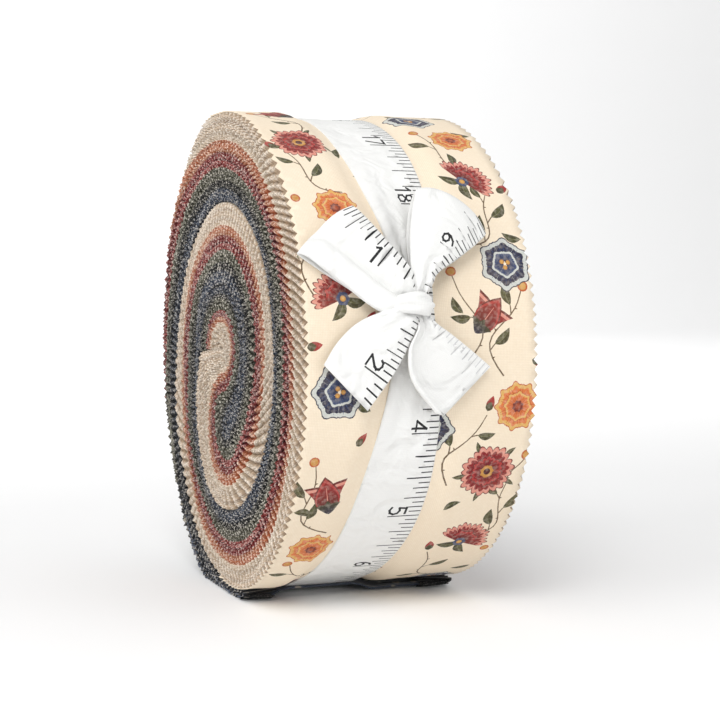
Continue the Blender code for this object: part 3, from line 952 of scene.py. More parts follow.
# the print's layout in mm: across the strip, and along it from where it shows
vines = (
    # start, stop, bend, leaves as (share of the way, angle, length), thorns
    ((24, 16), (12, 36), 0.18, ((0.3, 40, 5.5), (0.6, -45, 6)), 3),
    ((-22, 12), (-26, 33), -0.2, ((0.35, -40, 5), (0.7, 42, 5.5)), 2),
    ((20, 42), (27, 62), -0.22, ((0.3, 45, 6.5), (0.55, -40, 6), (0.8, 38, 5)), 3),
    ((27, 62), (31, 70), 0.1, (), 1),
    ((-20, 48), (-27, 70), 0.2, ((0.25, -42, 5.5), (0.6, 40, 6)), 3),
    ((10, 62), (18, 82), 0.16, ((0.4, 40, 6), (0.75, -40, 5)), 2),
    ((-24, 84), (-16, 104), -0.2, ((0.3, 42, 6), (0.65, -42, 5.5)), 3),
    ((22, 92), (28, 114), 0.2, ((0.3, -42, 6), (0.7, 40, 6.5)), 3),
    ((12, 96), (9, 118), -0.18, ((0.5, 45, 5.5),), 2),
    ((-28, 112), (-20, 134), 0.18, ((0.35, 42, 5.5), (0.7, -40, 6)), 3),
    ((14, 126), (24, 142), -0.2, ((0.3, 42, 6), (0.6, -42, 6.5), (0.85, 35, 5)), 3),
    ((-16, 142), (-27, 158), 0.16, ((0.4, -40, 6), (0.75, 42, 5)), 2),
    ((26, 150), (14, 170), 0.18, ((0.3, -42, 5.5), (0.65, 42, 6)), 3),
    ((-20, 168), (-28, 186), -0.18, ((0.35, 40, 5.5), (0.75, -42, 5)), 2),
    ((20, 178), (28, 196), 0.2, ((0.3, 42, 6), (0.7, -40, 6)), 3),
    ((-14, 190), (-24, 208), 0.15, ((0.5, 45, 5.5),), 2),
    ((8, 198), (18, 216), -0.15, ((0.4, 40, 5.5), (0.8, -42, 5)), 2),
)
# across, along, size, and the angle of what has one
berries = (
    (31, 70.5, 1.5), (-27.5, 71, 1.4), (28.5, 115, 1.5), (9, 119, 1.3), (-27, 34, 1.4), (-28, 187, 1.5),
    (13.5, 171, 1.4), (-29, 140, 1.3), (29, 36, 1.3), (10.5, 142, 1.2), (-13.5, 118, 1.3), (-14, 30, 1.3),
)
buds = (
    (12, 37, 4.6, 100), (18, 83, 4.2, 70), (-15, 105, 4.4, 60), (28, 143, 4.6, 40), (-29, 160, 4.4, 130),
    (29, 198, 4.2, 60), (-17, 75, 4.2, 50), (30, 96, 4.0, -20), (-31, 100, 4.2, 10),
)
leaves = (
    (29.5, 24, 5.5, 200), (-30.5, 56, 5.5, -20), (11, 54, 5.0, 30), (-30, 124, 5.5, 20),
    (30.5, 128, 5.5, 160), (11, 108, 5, 120), (-12, 158, 5, 80), (30, 170, 5.5, 150), (-30, 200, 5, -30),
    (-31, 8, 5, 10), (14, 6, 5, 120), (-14, 84, 5, 140),
)
flowers = (
    ("cornflower", 23, 11, 7.0, 12), ("tulip", -20, 2, 10.5, 80), ("halfRose", 20, 40, 8.8, 62),
    ("daisy", -22.5, 41, 6.6, 5), ("daisy", 26.5, 84, 6.8, 20), ("tulip", -21, 55, 11.0, 105),
    ("rosette", 20.5, 66, 8.0, 8), ("cornflower", -22.5, 89, 7.6, 0), ("tulip", 14, 103, 11.0, 48),
    ("halfRose", -21, 112, 8.6, 118), ("cornflower", 24.5, 121, 7.6, 25), ("daisy", -19, 137, 6.2, 10),
    ("halfRose", 19, 147, 9.0, 40), ("rosette", -22, 163, 7.8, 20), ("daisy", 23, 167, 6.4, 0),
    ("tulip", -17.5, 182, 10.5, 128), ("cornflower", 17, 183, 7.4, 40), ("daisy", -24, 201, 6.4, 15),
    ("rosette", 22, 204, 7.8, 0), ("halfRose", -18, 214, 8.4, 80), ("tulip", 6, 210, 10.0, 95),
    # what lies below the tape and at its edges
    ("rosette", -3, 22, 7.4, 0), ("cornflower", 3, 78, 6.8, 0), ("daisy", -6, 100, 6.0, 0),
    ("rosette", -2, 150, 7.0, 0),
)


def makeWrapPrint(offset):
    art = Print()
    lay = {"rosette": art.rosette, "halfRose": art.halfRose, "tulip": art.tulip,
           "cornflower": art.cornflower, "daisy": art.daisy}
    # vines first, so that the flowers lie over their ends
    for row in vines:
        art.vine(*row)
    for x, y, size in berries:
        art.berry((x, y), size)
    for x, y, size, turn in buds:
        art.bud((x, y), size, turn)
    for x, y, size, turn in leaves:
        art.leaf((x, y), size, turn)
    for kind, x, y, size, turn in flowers:
        lay[kind]((x, y), size, turn)
    return [(points + (0, offset), inner, outer, centre + (0, offset), reach)
            for points, inner, outer, centre, reach in art.shapes]


def makeClothMaterial():
    # cotton with the print in its corner colours, pale mottling, stains, and painted shade between yarns
    mat, g, surface = newMaterial("printedCotton", 0.9, 0.04)
    flat = g.flat()
    height, between = g.weave(flat, clothLook["yarn"])
    light, scale, limits = clothLook["light"]
    colour = g.spots(g.noise(flat, scale, 2.0), limits, g.fact("dye", "Color"), linear(light))
    # painted shade between the yarns
    shade, most = clothLook["between"]
    colour = g.mix(g.times(between, most), colour, linear(shade))
    stain, scale, limits = clothLook["stain"]
    g.put(surface["Base Color"], g.spots(g.noise(flat, scale, 2.0), limits, colour, linear(stain)))
    g.put(surface["Normal"], g.bump(height, *clothLook["bump"]))
    return mat


def makeWrap(material):
    line, angles = stripPath(1.0, wrap["start"], coil["paleEnd"], wrap["lift"], wrap["foldRadius"],
                             wrap["turnedBack"])
    travel = travelOf(line)
    topEnd = np.interp(coil["paleEnd"] - 0.01, angles, travel)
    # the teeth of both edges run on from those of the layers below
    layer, layerAngles = layerLine(wrap["edgeLayer"])
    _, at, tooth, _ = toothPoints(layer, 0.0)
    toothAngles = np.interp(at, travelOf(layer), layerAngles)
    at = np.interp(toothAngles[toothAngles > wrap["start"]], angles, travel)
    tooth = tooth[toothAngles > wrap["start"]]
    more = np.arange(at[-1] + coil["toothPitch"] / 2, travel[-1], coil["toothPitch"] / 2)
    tooth = np.concatenate([tooth, (tooth[-1] + 1 + np.arange(len(more))) % 2])
    at = np.concatenate([at, more])
    notch, crest = [rng.uniform(*wrap[name], len(at)) for name in ("notch", "crest")]
    cut = np.where(tooth > 0, notch, crest)
    side = coil["stripWidth"] / 2 - cut * coil["toothDepth"]
    columns = np.arange(-wrap["gridHalf"], wrap["gridHalf"] + 0.1, wrap["gridAcross"])
    startEdge = [(x, 0) for x in (-side[0], *columns, side[0])]
    endEdge = [(x, travel[-1]) for x in (side[-1], *columns[::-1], -side[-1])]
    outline = np.concatenate([startEdge, np.column_stack([side, at]), endEdge,
                              np.column_stack([-side, at])[::-1]])
    keep = [0] + [k for k in range(1, len(outline)) if np.linalg.norm(outline[k] - outline[k - 1]) > 1e-4]
    rows = np.concatenate([np.arange(wrap["gridStart"], topEnd, wrap["gridAlong"]),
                           travel[travel > topEnd - 0.5][:-1]])
    shapes = makeWrapPrint(np.interp(coil["shownFrom"], angles, travel))
    extra = [(x, y) for y in rows for x in columns]
    flat, triangles, dyes = cutCloth(outline[keep], shapes, extra, ink["ground"])
    places = onPath(line, angles, flat[:, 1], flat[:, 0])
    obj = makeCutMesh("outerCloth", flat, triangles, dyes, places, material)
    addThickness(obj, wrap["thickness"])
    return obj, travel[-1] * mm


outerCloth, wrapLength = makeWrap(makeClothMaterial())
print("outer cloth:", len(outerCloth.data.polygons), "faces")


# Strips that stop one after another at the back.

cascade = {
    "thickness": 0.00024,
    "foldRadius": 0.22,
    "turnedBack": 3.0,
    "underlap": 8.0,          # degrees
    "uneven": 0.5,
    "sideways": 0.2,
    "inside": 0.002,          # share of the stack that a strip lies inside its own face
    "toothStart": 0.37,       # of a tooth, from strip to strip
    "columns": 25,
    "gridHalf": 0.92,         # share of half the width
}
# colours with the share that is mixed into the dye
stripLook = {
    "pale": ((238, 226, 204), 0.62),
    "dark": ((44, 34, 32), 0.5),
    # painted shade between the yarns, as a share of the dark colour
    "between": 0.2,
    "cellScale": 260.0,
    "curlScale": 330.0,
    "curl": 2.5,
    "move": (0.37, 0.11),
    # distance from, distance to, and how much of the colour is laid on
    "dots": (0.34, 0.26, 0.75),
    "hearts": (0.13, 0.09, 0.8),
    "scrolls": (0.03, 0.015, 0.8),
}


def makeStripMaterial():
    # small all-over prints in each strip's own dyes: dots with dark hearts, or scrolls; with painted shade
    # between yarns
    mat, g, surface = newMaterial("stripCotton", 0.9, 0.25)
    look = stripLook
    dye, layer, flat = g.fact("dye", "Color"), g.fact("layer"), g.flat()
    moved = g.combine(*[g.times(layer, step) for step in look["move"]], layer)
    place = g.node("ShaderNodeVectorMath", [flat, moved], operation="ADD").outputs[0]
    cells = g.node("ShaderNodeTexVoronoi", {"Vector": place, "Scale": look["cellScale"], "Randomness": 0.8},
                   feature="F1")
    curls = g.noise(place, look["curlScale"], 1.0, distortion=look["curl"])
    curls = g.math("ABSOLUTE", g.math("SUBTRACT", curls, 0.5))
    pale = g.mix(look["pale"][1], dye, linear(look["pale"][0]))
    dark = g.mix(look["dark"][1], dye, linear(look["dark"][0]))
    printed = g.spots(cells.outputs["Distance"], look["dots"], dye, pale)
    printed = g.spots(cells.outputs["Distance"], look["hearts"], printed, dark)
    scrolled = g.spots(curls, look["scrolls"], dye, pale)
    odd = g.math("GREATER_THAN", g.math("MODULO", layer, 2.0), 0.5)
    height, between = g.weave(flat, clothLook["yarn"])
    # painted shade between the yarns, towards the dark colour
    shade = g.times(between, look["between"])
    g.put(surface["Base Color"], g.mix(shade, g.mix(odd, printed, scrolled), dark))
    g.put(surface["Normal"], g.bump(height, *clothLook["bump"]))
    return mat


def stripEnd(k):
    # running angle at which strip k stops
    share = (k + 1) / len(stripDyes)
    tail = runAngle > coil["paleEnd"]
    return float(np.interp(-share, -shareLeft[tail], runAngle[tail]))


def makeCascade(groupName, material):
    points, faces, dyes, layers, flats = [], [], [], [], []
    length = 0.0
    half = coil["toothPitch"] / 2
    inner = np.linspace(-cascade["gridHalf"], cascade["gridHalf"], cascade["columns"])
    columns = np.array([-1, *inner, 1])
    # the last strip is the outer cloth
    for k, (name, dye) in enumerate(stripDyes[:-1]):
        if name != groupName:
            continue
        stop = stripEnd(k) + rng.uniform(-1, 1) * cascade["uneven"]
        start = stripEnd(k + 1) - cascade["underlap"]
        f = (k + 1) / len(stripDyes) - cascade["inside"]
        line, angles = stripPath(f, start, stop, 0.0, cascade["foldRadius"], cascade["turnedBack"])
        travel = travelOf(line)
        folded = math.pi * cascade["foldRadius"] * np.linspace(0, 1, 5)
        rows = np.concatenate([np.arange(0, travel[-1] - 0.4, half), [travel[-1]],
                               travel[-1] - cascade["turnedBack"] - folded])
        rows = np.unique(np.round(rows, 3))
        tooth = np.abs((rows / (2 * half) + k * cascade["toothStart"]) % 1 - 0.5) * 2
        side = coil["stripWidth"] / 2 - coil["toothDepth"] * tooth
        x = columns[None, :] * side[:, None] + rng.normal(0, cascade["sideways"])
        x[:, 1:-1] = columns[None, 1:-1] * coil["stripWidth"] / 2
        at = np.repeat(rows, len(columns))
        faces.extend(gridFaces(len(rows), len(columns), len(points)))
        points.extend(onPath(line, angles, at, x.ravel()))
        dyes.extend([linear(dye)] * len(at))
        layers.extend([k] * len(at))
        flats.extend(np.column_stack([x.ravel(), at]))
        length += travel[-1]
    obj = makeMesh("stripEnds_" + groupName, points, faces, material)
    addFact(obj.data, "dye", dyes, "FLOAT_COLOR")
    addFact(obj.data, "layer", layers)
    putFlat(obj, flats)
    addThickness(obj, cascade["thickness"])
    return obj, length * mm


stripMaterial = makeStripMaterial()
stripEnds = [makeCascade(name, stripMaterial) for name, _, _ in stripGroups]
print("strip ends:", sum(len(obj.data.polygons) for obj, _ in stripEnds), "faces")


# The printed tape.

ruler = {
    "width": 19.5,
    "thickness": 0.00045,
    "lift": 0.32,
    "inch": 25.4,
    "tickWidth": 0.34,
    "tickLengths": {0: 8.6, 8: 7.0, 4: 6.0, 12: 6.0},
    "evenTick": 4.4,
    "oddTick": 3.2,
    "edgeGap": 0.25,
    "endGap": 0.3,
    "digitHeight": 4.6,
    "digitStep": 2.9,
    "digitStart": 3.4,
    "lineWidth": 0.62,
    "numberRoom": 3.6,
    "gridAlong": 0.9,
    "gridAcross": 27,
    # ripples of the gathered tape in mm, and its slow sag
    "pleat": 0.9,
    "pleatTurn": 0.6,
    "sag": 0.12,
    "sagWaves": (7.0, 3.1, 23.0),
    "leastSag": -0.1,
}
tapeInks = {"ground": (234, 234, 232), "black": (30, 30, 32), "ghost": (206, 206, 206)}
tapeLook = {
    "yarn": 0.0005,
    # painted shade between the yarns: its colour and how much is laid on
    "between": ((170, 170, 172), 0.06),
    "bump": (0.3, 0.0001),
    "creaseScale": 110.0,
    "creaseBend": 0.8,
    "creaseBump": (1.0, 0.0016),
}
# each digit is a line of points in a box one high
digitLines = {
    "0": ((0.3, 1), (0.12, 0.85), (0.05, 0.5), (0.12, 0.15), (0.3, 0), (0.48, 0.15), (0.55, 0.5),
          (0.48, 0.85), (0.3, 1)),
    "1": ((0.14, 0.8), (0.34, 1), (0.34, 0)),
    "2": ((0.05, 0.78), (0.13, 0.94), (0.3, 1), (0.48, 0.93), (0.55, 0.76), (0.48, 0.56), (0.04, 0),
          (0.6, 0)),
    "3": ((0.05, 0.9), (0.24, 1), (0.46, 0.95), (0.53, 0.77), (0.42, 0.58), (0.22, 0.52), (0.46, 0.46),
          (0.57, 0.26), (0.45, 0.05), (0.22, 0), (0.03, 0.1)),
    "4": ((0.44, 0), (0.44, 1), (0.02, 0.3), (0.62, 0.3)),
    "5": ((0.54, 1), (0.13, 1), (0.08, 0.56), (0.3, 0.62), (0.5, 0.52), (0.57, 0.3), (0.46, 0.08),
          (0.24, 0), (0.04, 0.08)),
    "6": ((0.5, 0.97), (0.28, 0.84), (0.1, 0.5), (0.07, 0.24), (0.2, 0.03), (0.4, 0.02), (0.54, 0.17),
          (0.53, 0.4), (0.37, 0.52), (0.18, 0.45), (0.08, 0.28)),
    "7": ((0.04, 1), (0.58, 1), (0.24, 0)),
    "8": ((0.3, 0.54), (0.1, 0.66), (0.1, 0.9), (0.3, 1), (0.5, 0.9), (0.5, 0.66), (0.3, 0.54),
          (0.06, 0.36), (0.08, 0.08), (0.3, 0), (0.52, 0.08), (0.54, 0.36), (0.3, 0.54)),
    "9": ((0.1, 0.03), (0.32, 0.16), (0.5, 0.5), (0.53, 0.76), (0.4, 0.97), (0.2, 0.98), (0.06, 0.83),
          (0.07, 0.6), (0.23, 0.48), (0.42, 0.55), (0.52, 0.72)),
}


def barShape(a, b, width):
    a, b = np.asarray(a, float), np.asarray(b, float)
    run = (b - a) / np.linalg.norm(b - a) * width / 2
    side = np.array([-run[1], run[0]])
    return np.array([a - run + side, a - run - side, b + run - side, b + run + side])


def rulerShapes(start, stop, zero, first, inkName="black"):
    # ticks and numbers on a tape that runs up from start to stop, its ticks along the right edge
    bars = []
    edge = ruler["width"] / 2
    step = ruler["inch"] / 16
    low = edge - ruler["tickLengths"][0] - ruler["endGap"]
    gap = ruler["endGap"]
    for k in range(math.ceil((start - zero + gap) / step), math.floor((stop - zero - gap) / step) + 1):
        y = zero + k * step
        long = ruler["tickLengths"].get(k % 16, ruler["evenTick"] if k % 2 == 0 else ruler["oddTick"])
        bars.append(barShape((edge - ruler["edgeGap"], y), (edge - long, y), ruler["tickWidth"]))
        number = first - k // 16
        if k % 16 == 0 and y + ruler["numberRoom"] < stop and number > 0:
            # numbers read down the tape, their heads towards the ticks
            for place, digit in enumerate(str(number)[::-1]):
                line = np.array(digitLines[digit]) * ruler["digitHeight"]
                up = y + ruler["digitStart"] + place * ruler["digitStep"]
                spot = np.column_stack([low + line[:, 1], up - line[:, 0]])
                bars.extend(barShape(a, b, ruler["lineWidth"]) for a, b in zip(spot[:-1], spot[1:]))
    dye = linear(tapeInks[inkName])
    return [(points, dye, dye, points.mean(axis=0), 1.0) for points in bars]


def makeTapeMaterial():
    mat, g, surface = newMaterial("printedTape", 0.8, 0.05)
    flat = g.flat()
    height, between = g.weave(flat, tapeLook["yarn"])
    # painted shade between the yarns
    shade, most = tapeLook["between"]
    colour = g.mix(g.times(between, most), g.fact("dye", "Color"), linear(shade))
    g.put(surface["Base Color"], colour)
    creases = g.noise(flat, tapeLook["creaseScale"], 2.0, distortion=tapeLook["creaseBend"])
    creases = g.bump(creases, *tapeLook["creaseBump"])
    g.put(surface["Normal"], g.bump(height, *tapeLook["bump"], creases))
    return mat


def printedSheet(name, start, stop, shapes, place, material, joined=False):
    # a length of tape cut along its print and laid by place(across, along)
    edge = ruler["width"] / 2
    along = np.linspace(start, stop, int((stop - start) / ruler["gridAlong"]))
    outline = ([(-edge, start), (edge, start)] + [(edge, y) for y in along[1:-1]] +
               [(edge, stop), (-edge, stop)] + [(-edge, y) for y in along[-2:0:-1]])
    across = np.linspace(-edge, edge, ruler["gridAcross"])[1:-1]
    extra = [(x, y) for y in along[1:-1] for x in across]
    flat, triangles, dyes = cutCloth(outline, shapes, extra, tapeInks["ground"])
    obj = makeCutMesh(name, flat, triangles, dyes, place(flat[:, 0], flat[:, 1]), material)
    if joined:
        # the two ends meet and become one row of points
        bm = bmesh.new()
        bm.from_mesh(obj.data)
        bmesh.ops.remove_doubles(bm, verts=bm.verts, dist=2e-6)
        bm.to_mesh(obj.data)
        bm.free()
    addThickness(obj, ruler["thickness"], 0.0)
    return obj


def outsideRadius(angle):
    # the outermost turn, at any angle
    first = coil["shownFrom"] - 2
    return outerRadius(first + (np.asarray(angle, float) - first - 1e-6) % 360 + 1e-6)


def tightOutline():
    # the shortest loop round the roll, as a radius at each degree
    a = np.arange(0, 360, 1.0)
    points = around((0, 0), a, outsideRadius(a))
    points[:, 1] = np.maximum(points[:, 1], -coil["restDepth"])
    order = points[np.lexsort((points[:, 1], points[:, 0]))]
    loop = []
    for row in (order, order[::-1]):
        half = []
        for p in row:
            while len(half) > 1 and np.cross(half[-1] - half[-2], p - half[-2]) <= 0:
                half.pop()
            half.append(p)
        loop.extend(half[:-1])
    loop = np.array(loop)
    following = np.roll(loop, -1, axis=0)
    cross = loop[:, 0] * following[:, 1] - loop[:, 1] * following[:, 0]
    run = following - loop
    reach = []
    for t in np.radians(a):
        turn = math.cos(t) * run[:, 1] - math.sin(t) * run[:, 0]
        before = math.cos(t) * loop[:, 1] - math.sin(t) * loop[:, 0]
        after = math.cos(t) * following[:, 1] - math.sin(t) * following[:, 0]
        forward = math.cos(t) * (loop + following)[:, 0] + math.sin(t) * (loop + following)[:, 1]
        k = np.where((before <= 0) & (after > 0) & (forward > 0))[0][0]
        reach.append(cross[k] / turn[k])
    return np.array(reach)


hullAngles = np.arange(0, 721, 1.0)
hullReach = np.tile(tightOutline(), 3)[:721] - tape["waistDepth"]
hullTravel = travelOf(around((0, 0), hullAngles, hullReach + ruler["lift"]))


def makeBand(material):
    # starts and ends under the knot, where the join is hidden
    start, stop, zero = [np.interp(angle, hullAngles, hullTravel) for angle in
                         (tape["joinAngle"], tape["joinAngle"] + 360, tape["zeroAngle"])]

    def place(x, y):
        angle = np.interp(y, hullTravel, hullAngles)
        t = x / (ruler["width"] / 2)
        half = tapeTable(angle, "half")
        tight = 1 - half / (ruler["width"] / 2)
        ripple = tight * (1 + np.cos(3 * math.pi * t + ruler["pleatTurn"])) * ruler["pleat"]
        long, across, skew = ruler["sagWaves"]
        sag = ruler["sag"] * np.sin(y / long) * np.sin(across * t + y / skew)
        reach = np.interp(angle, hullAngles, hullReach) + ruler["lift"] + ripple
        h, v = around((0, 0), angle, reach + np.maximum(sag, ruler["leastSag"])).T
        return toWorld(tapeTable(angle, "centre") + t * (half + 0.5 * tight * np.sin(t * 5)), h, v)

    shapes = rulerShapes(start, stop, zero, tape["topNumber"])
    return printedSheet("rulerTape", start, stop, shapes, place, material, True), (stop - start) * mm


tapeMaterial = makeTapeMaterial()
band, bandLength = makeBand(tapeMaterial)
print("tape:", len(band.data.polygons), "faces")


# The bow, in a frame on the roll's rim: x to the right, y up the rim, z away from it.

bow = {"angle": 15.0, "x": -0.5}
# rails run from the ruler edge (0) to the plain edge (1); each row is one place along the tape
# outward: the tape's own up runs away from the knot, otherwise towards it
# zeroAt is where topNumber stands along the tape; the numbers fall from there on
leftLoop = {
    "rails": (0, 0.2, 0.4, 0.6, 0.72, 0.86, 1),
    "rows": {
        0.00: ((-2.6, -1.6, 4.2), (-3.0, -1.9, 5.0), (-3.6, -2.4, 4.4), (-4.2, -3.0, 3.6),
               (-4.8, -3.4, 4.6), (-5.4, -4.0, 4.2), (-6.0, -4.8, 3.4)),
        0.14: ((-3.0, 4.2, 4.6), (-4.4, 2.4, 5.6), (-5.8, 0.6, 5.0), (-7.4, -1.6, 3.6), (-8.4, -2.2, 5.2),
               (-10.0, -3.8, 4.8), (-11.4, -5.6, 3.4)),
        0.50: ((-9.6, 13.6, 3.8), (-11.9, 11.8, 5.0), (-14.2, 9.4, 4.6), (-16.6, 6.6, 2.6),
               (-17.9, 5.6, 4.6), (-19.6, 4.1, 4.4), (-21.4, 2.2, 2.6)),
        0.86: ((-14.8, 20.2, 3.0), (-18.2, 18.6, 3.8), (-21.4, 16.4, 3.8), (-24.4, 13.6, 2.8),
               (-26.0, 12.4, 3.6), (-27.8, 10.8, 3.4), (-29.4, 8.8, 2.4)),
        1.00: ((-16.2, 22.2, 1.2), (-19.8, 20.6, 1.6), (-23.2, 18.2, 1.6), (-26.2, 15.3, 1.3),
               (-27.9, 13.9, 1.5), (-29.8, 12.1, 1.4), (-31.5, 10.1, 1.0)),
        1.14: ((-15.0, 20.2, -0.8), (-18.4, 18.4, -0.6), (-21.4, 16.0, -0.4), (-24.4, 13.2, -0.1),
               (-26.0, 11.8, 0.1), (-27.8, 10.4, 0.2), (-29.4, 8.6, 0.3)),
        1.50: ((-9.6, 13.0, 0.6), (-11.9, 11.0, 0.8), (-14.2, 8.8, 0.7), (-16.6, 6.4, 0.6),
               (-17.9, 5.2, 0.7), (-19.4, 3.8, 0.8), (-20.8, 2.4, 0.8)),
        1.90: ((-3.6, 2.8, 1.9), (-4.8, 1.4, 2.2), (-6.0, 0.0, 1.9), (-7.4, -1.6, 2.1), (-8.2, -2.4, 1.9),
               (-9.2, -3.6, 2.1), (-10.0, -4.6, 1.9)),
        2.00: ((-2.8, -1.8, 2.6), (-3.2, -2.1, 2.9), (-3.8, -2.6, 2.6), (-4.4, -3.1, 2.8),
               (-4.8, -3.5, 2.6), (-5.2, -4.0, 2.8), (-5.6, -4.6, 2.6)),
    },
    "length": 62.0,
    "outward": True,
    "zeroAt": 12.0,
    "topNumber": 1,
    "ink": "black",
}
rightLoop = {
    "rails": (0, 0.2, 0.4, 0.6, 0.8, 1),
    "rows": {
        0.00: ((-0.2, -1.8, 4.4), (-0.9, -1.6, 5.4), (-1.6, -1.5, 4.6), (-2.4, -1.5, 5.4),
               (-3.2, -1.6, 4.6), (-4.0, -1.8, 4.2)),
        0.10: ((1.9, 1.4, 4.4), (0.9, 1.9, 6.0), (-0.2, 2.2, 5.2), (-1.4, 2.3, 6.0), (-2.6, 2.2, 5.0),
               (-3.6, 1.8, 4.2)),
        0.20: ((3.4, 4.0, 4.2), (2.2, 4.8, 5.3), (0.9, 5.3, 4.7), (-0.6, 5.6, 5.4), (-2.0, 5.6, 4.8),
               (-3.3, 5.2, 4.2)),
        0.45: ((9.0, 7.8, 4.2), (7.2, 9.8, 5.2), (5.0, 11.2, 5.4), (2.4, 12.2, 5.6), (-0.4, 12.6, 5.0),
               (-2.7, 12.2, 3.8)),
        0.70: ((14.4, 11.2, 3.4), (12.4, 14.6, 4.6), (9.6, 17.4, 5.3), (6.2, 19.2, 5.4), (2.6, 20.0, 4.6),
               (-1.2, 19.6, 3.4)),
        0.92: ((18.4, 14.2, 2.4), (16.4, 18.2, 3.1), (13.2, 21.8, 3.5), (9.2, 24.6, 3.2), (5.0, 26.0, 2.4),
               (1.2, 25.6, 1.6)),
        1.00: ((19.9, 15.6, 0.9), (17.9, 19.6, 1.3), (14.6, 23.0, 1.3), (10.4, 26.0, 0.7), (6.2, 27.6, 0.1),
               (2.8, 27.6, -0.4)),
        1.10: ((18.4, 13.8, -0.5), (16.4, 17.8, -0.9), (13.2, 21.2, -1.4), (9.2, 23.8, -2.0),
               (5.2, 25.2, -2.6), (1.8, 25.0, -2.8)),
        1.50: ((11.0, 8.6, 0.8), (9.0, 11.0, 0.6), (6.6, 13.0, 0.5), (3.8, 14.4, 0.4), (0.8, 15.0, 0.2),
               (-1.8, 14.6, 0.0)),
        1.88: ((2.8, 3.4, 1.9), (1.8, 4.0, 2.2), (0.7, 4.3, 1.9), (-0.5, 4.5, 2.2), (-1.7, 4.4, 1.9),
               (-2.8, 4.2, 2.0)),
        2.00: ((-0.8, -1.8, 2.6), (-1.3, -1.7, 2.9), (-1.9, -1.6, 2.6), (-2.5, -1.6, 2.8),
               (-3.1, -1.7, 2.6), (-3.7, -1.8, 2.6)),
    },
    "length": 64.0,
    "outward": True,
    "zeroAt": 15.0,
    "topNumber": 6,
    "ink": "black",
}
leftTail = {
    "rails": (0, 0.25, 0.5, 0.75, 1),
    "rows": {
        0.00: ((-2.4, -4.6, 4.4), (-3.4, -4.3, 5.2), (-4.6, -4.0, 4.6), (-6.0, -3.8, 5.2),
               (-7.6, -3.6, 4.2)),
        0.18: ((-3.0, -8.5, 4.3), (-4.8, -7.8, 5.3), (-6.6, -6.9, 4.7), (-8.8, -6.0, 5.1),
               (-10.7, -4.9, 3.9)),
        0.45: ((-6.1, -14.8, 2.7), (-9.2, -13.2, 3.5), (-12.2, -11.4, 3.5), (-15.2, -9.6, 3.3),
               (-17.9, -7.6, 2.6)),
        0.70: ((-9.3, -20.3, 0.7), (-12.8, -18.2, 1.5), (-16.2, -16.0, 1.7), (-19.6, -13.9, 1.5),
               (-23.0, -11.9, 1.0)),
        1.00: ((-15.7, -28.6, -2.6), (-18.6, -25.8, -1.5), (-21.4, -23.0, -0.7), (-24.2, -20.2, -0.1),
               (-27.0, -17.5, 0.2)),
    },
    "length": 27.0,
    "outward": False,
    "zeroAt": 6.0,
    "topNumber": 2,
    "ink": "black",
}
rightTail = {
    "rails": (0, 0.25, 0.5, 0.75, 0.86, 0.94, 1),
    "rows": {
        0.00: ((-0.8, -4.4, 4.4), (-1.2, -4.8, 5.0), (-1.7, -5.2, 4.2), (-2.3, -5.6, 4.8),
               (-2.7, -5.9, 4.4), (-3.0, -6.1, 4.6), (-3.3, -6.3, 4.2)),
        0.18: ((1.6, -8.0, 4.1), (0.6, -9.0, 4.5), (-0.5, -9.6, 3.3), (-1.6, -10.0, 3.6), (-2.6, -9.9, 4.4),
               (-3.1, -9.7, 4.6), (-2.8, -9.4, 5.0)),
        0.42: ((6.4, -11.2, 3.1), (4.2, -12.9, 3.3), (1.4, -14.2, 2.1), (-2.2, -15.0, 2.0),
               (-4.6, -15.3, 2.8), (-5.7, -15.2, 3.4), (-4.9, -14.8, 4.0)),
        0.70: ((12.0, -14.8, 1.3), (9.0, -17.6, 1.5), (5.0, -20.2, 0.5), (0.2, -22.0, -0.7),
               (-2.8, -22.5, -0.3), (-4.2, -22.4, 0.5), (-3.2, -21.8, 1.1)),
        1.00: ((17.8, -18.7, -0.7), (14.6, -21.7, -1.1), (11.0, -24.9, -2.1), (7.0, -28.2, -3.2),
               (4.8, -30.0, -3.4), (3.5, -30.8, -2.9), (4.4, -30.4, -2.3)),
    },
    "length": 27.0,
    "outward": True,
    "zeroAt": 9.0,
    "topNumber": 0,           # ticks alone
    "ink": "ghost",
}
knotShape = {
    "centre": (-3.8, -3.9, 4.4),
    "halfWidth": 4.9,
    "halfDepth": 3.9,
    "height": 5.6,
    "tilt": -4.0,
    "puff": 1.5,
    "ridges": 0.34,
    "unevenRidges": 0.16,
    "ridgeTurns": 7.5,
    "ridgeBend": 0.7,
    "tuck": 3.2,
    "pinch": 0.14,
    "bulge": 0.1,
    "sides": 64,
    "columns": 22,
    "flatWidth": 10.5,          # the tape is doubled along its length in the knot
    "flatLength": 23.0,
}
bowBase = float(outsideRadius(bow["angle"]))


def fromBow(p):
    # a place in the bow's frame to the world
    a = math.radians(bow["angle"])
    x, y, z = p[..., 0], p[..., 1], p[..., 2]
    reach = bowBase + z
    h = math.cos(a) * reach - math.sin(a) * y
    v = math.sin(a) * reach + math.cos(a) * y
    return toWorld(bow["x"] + x, h, v)


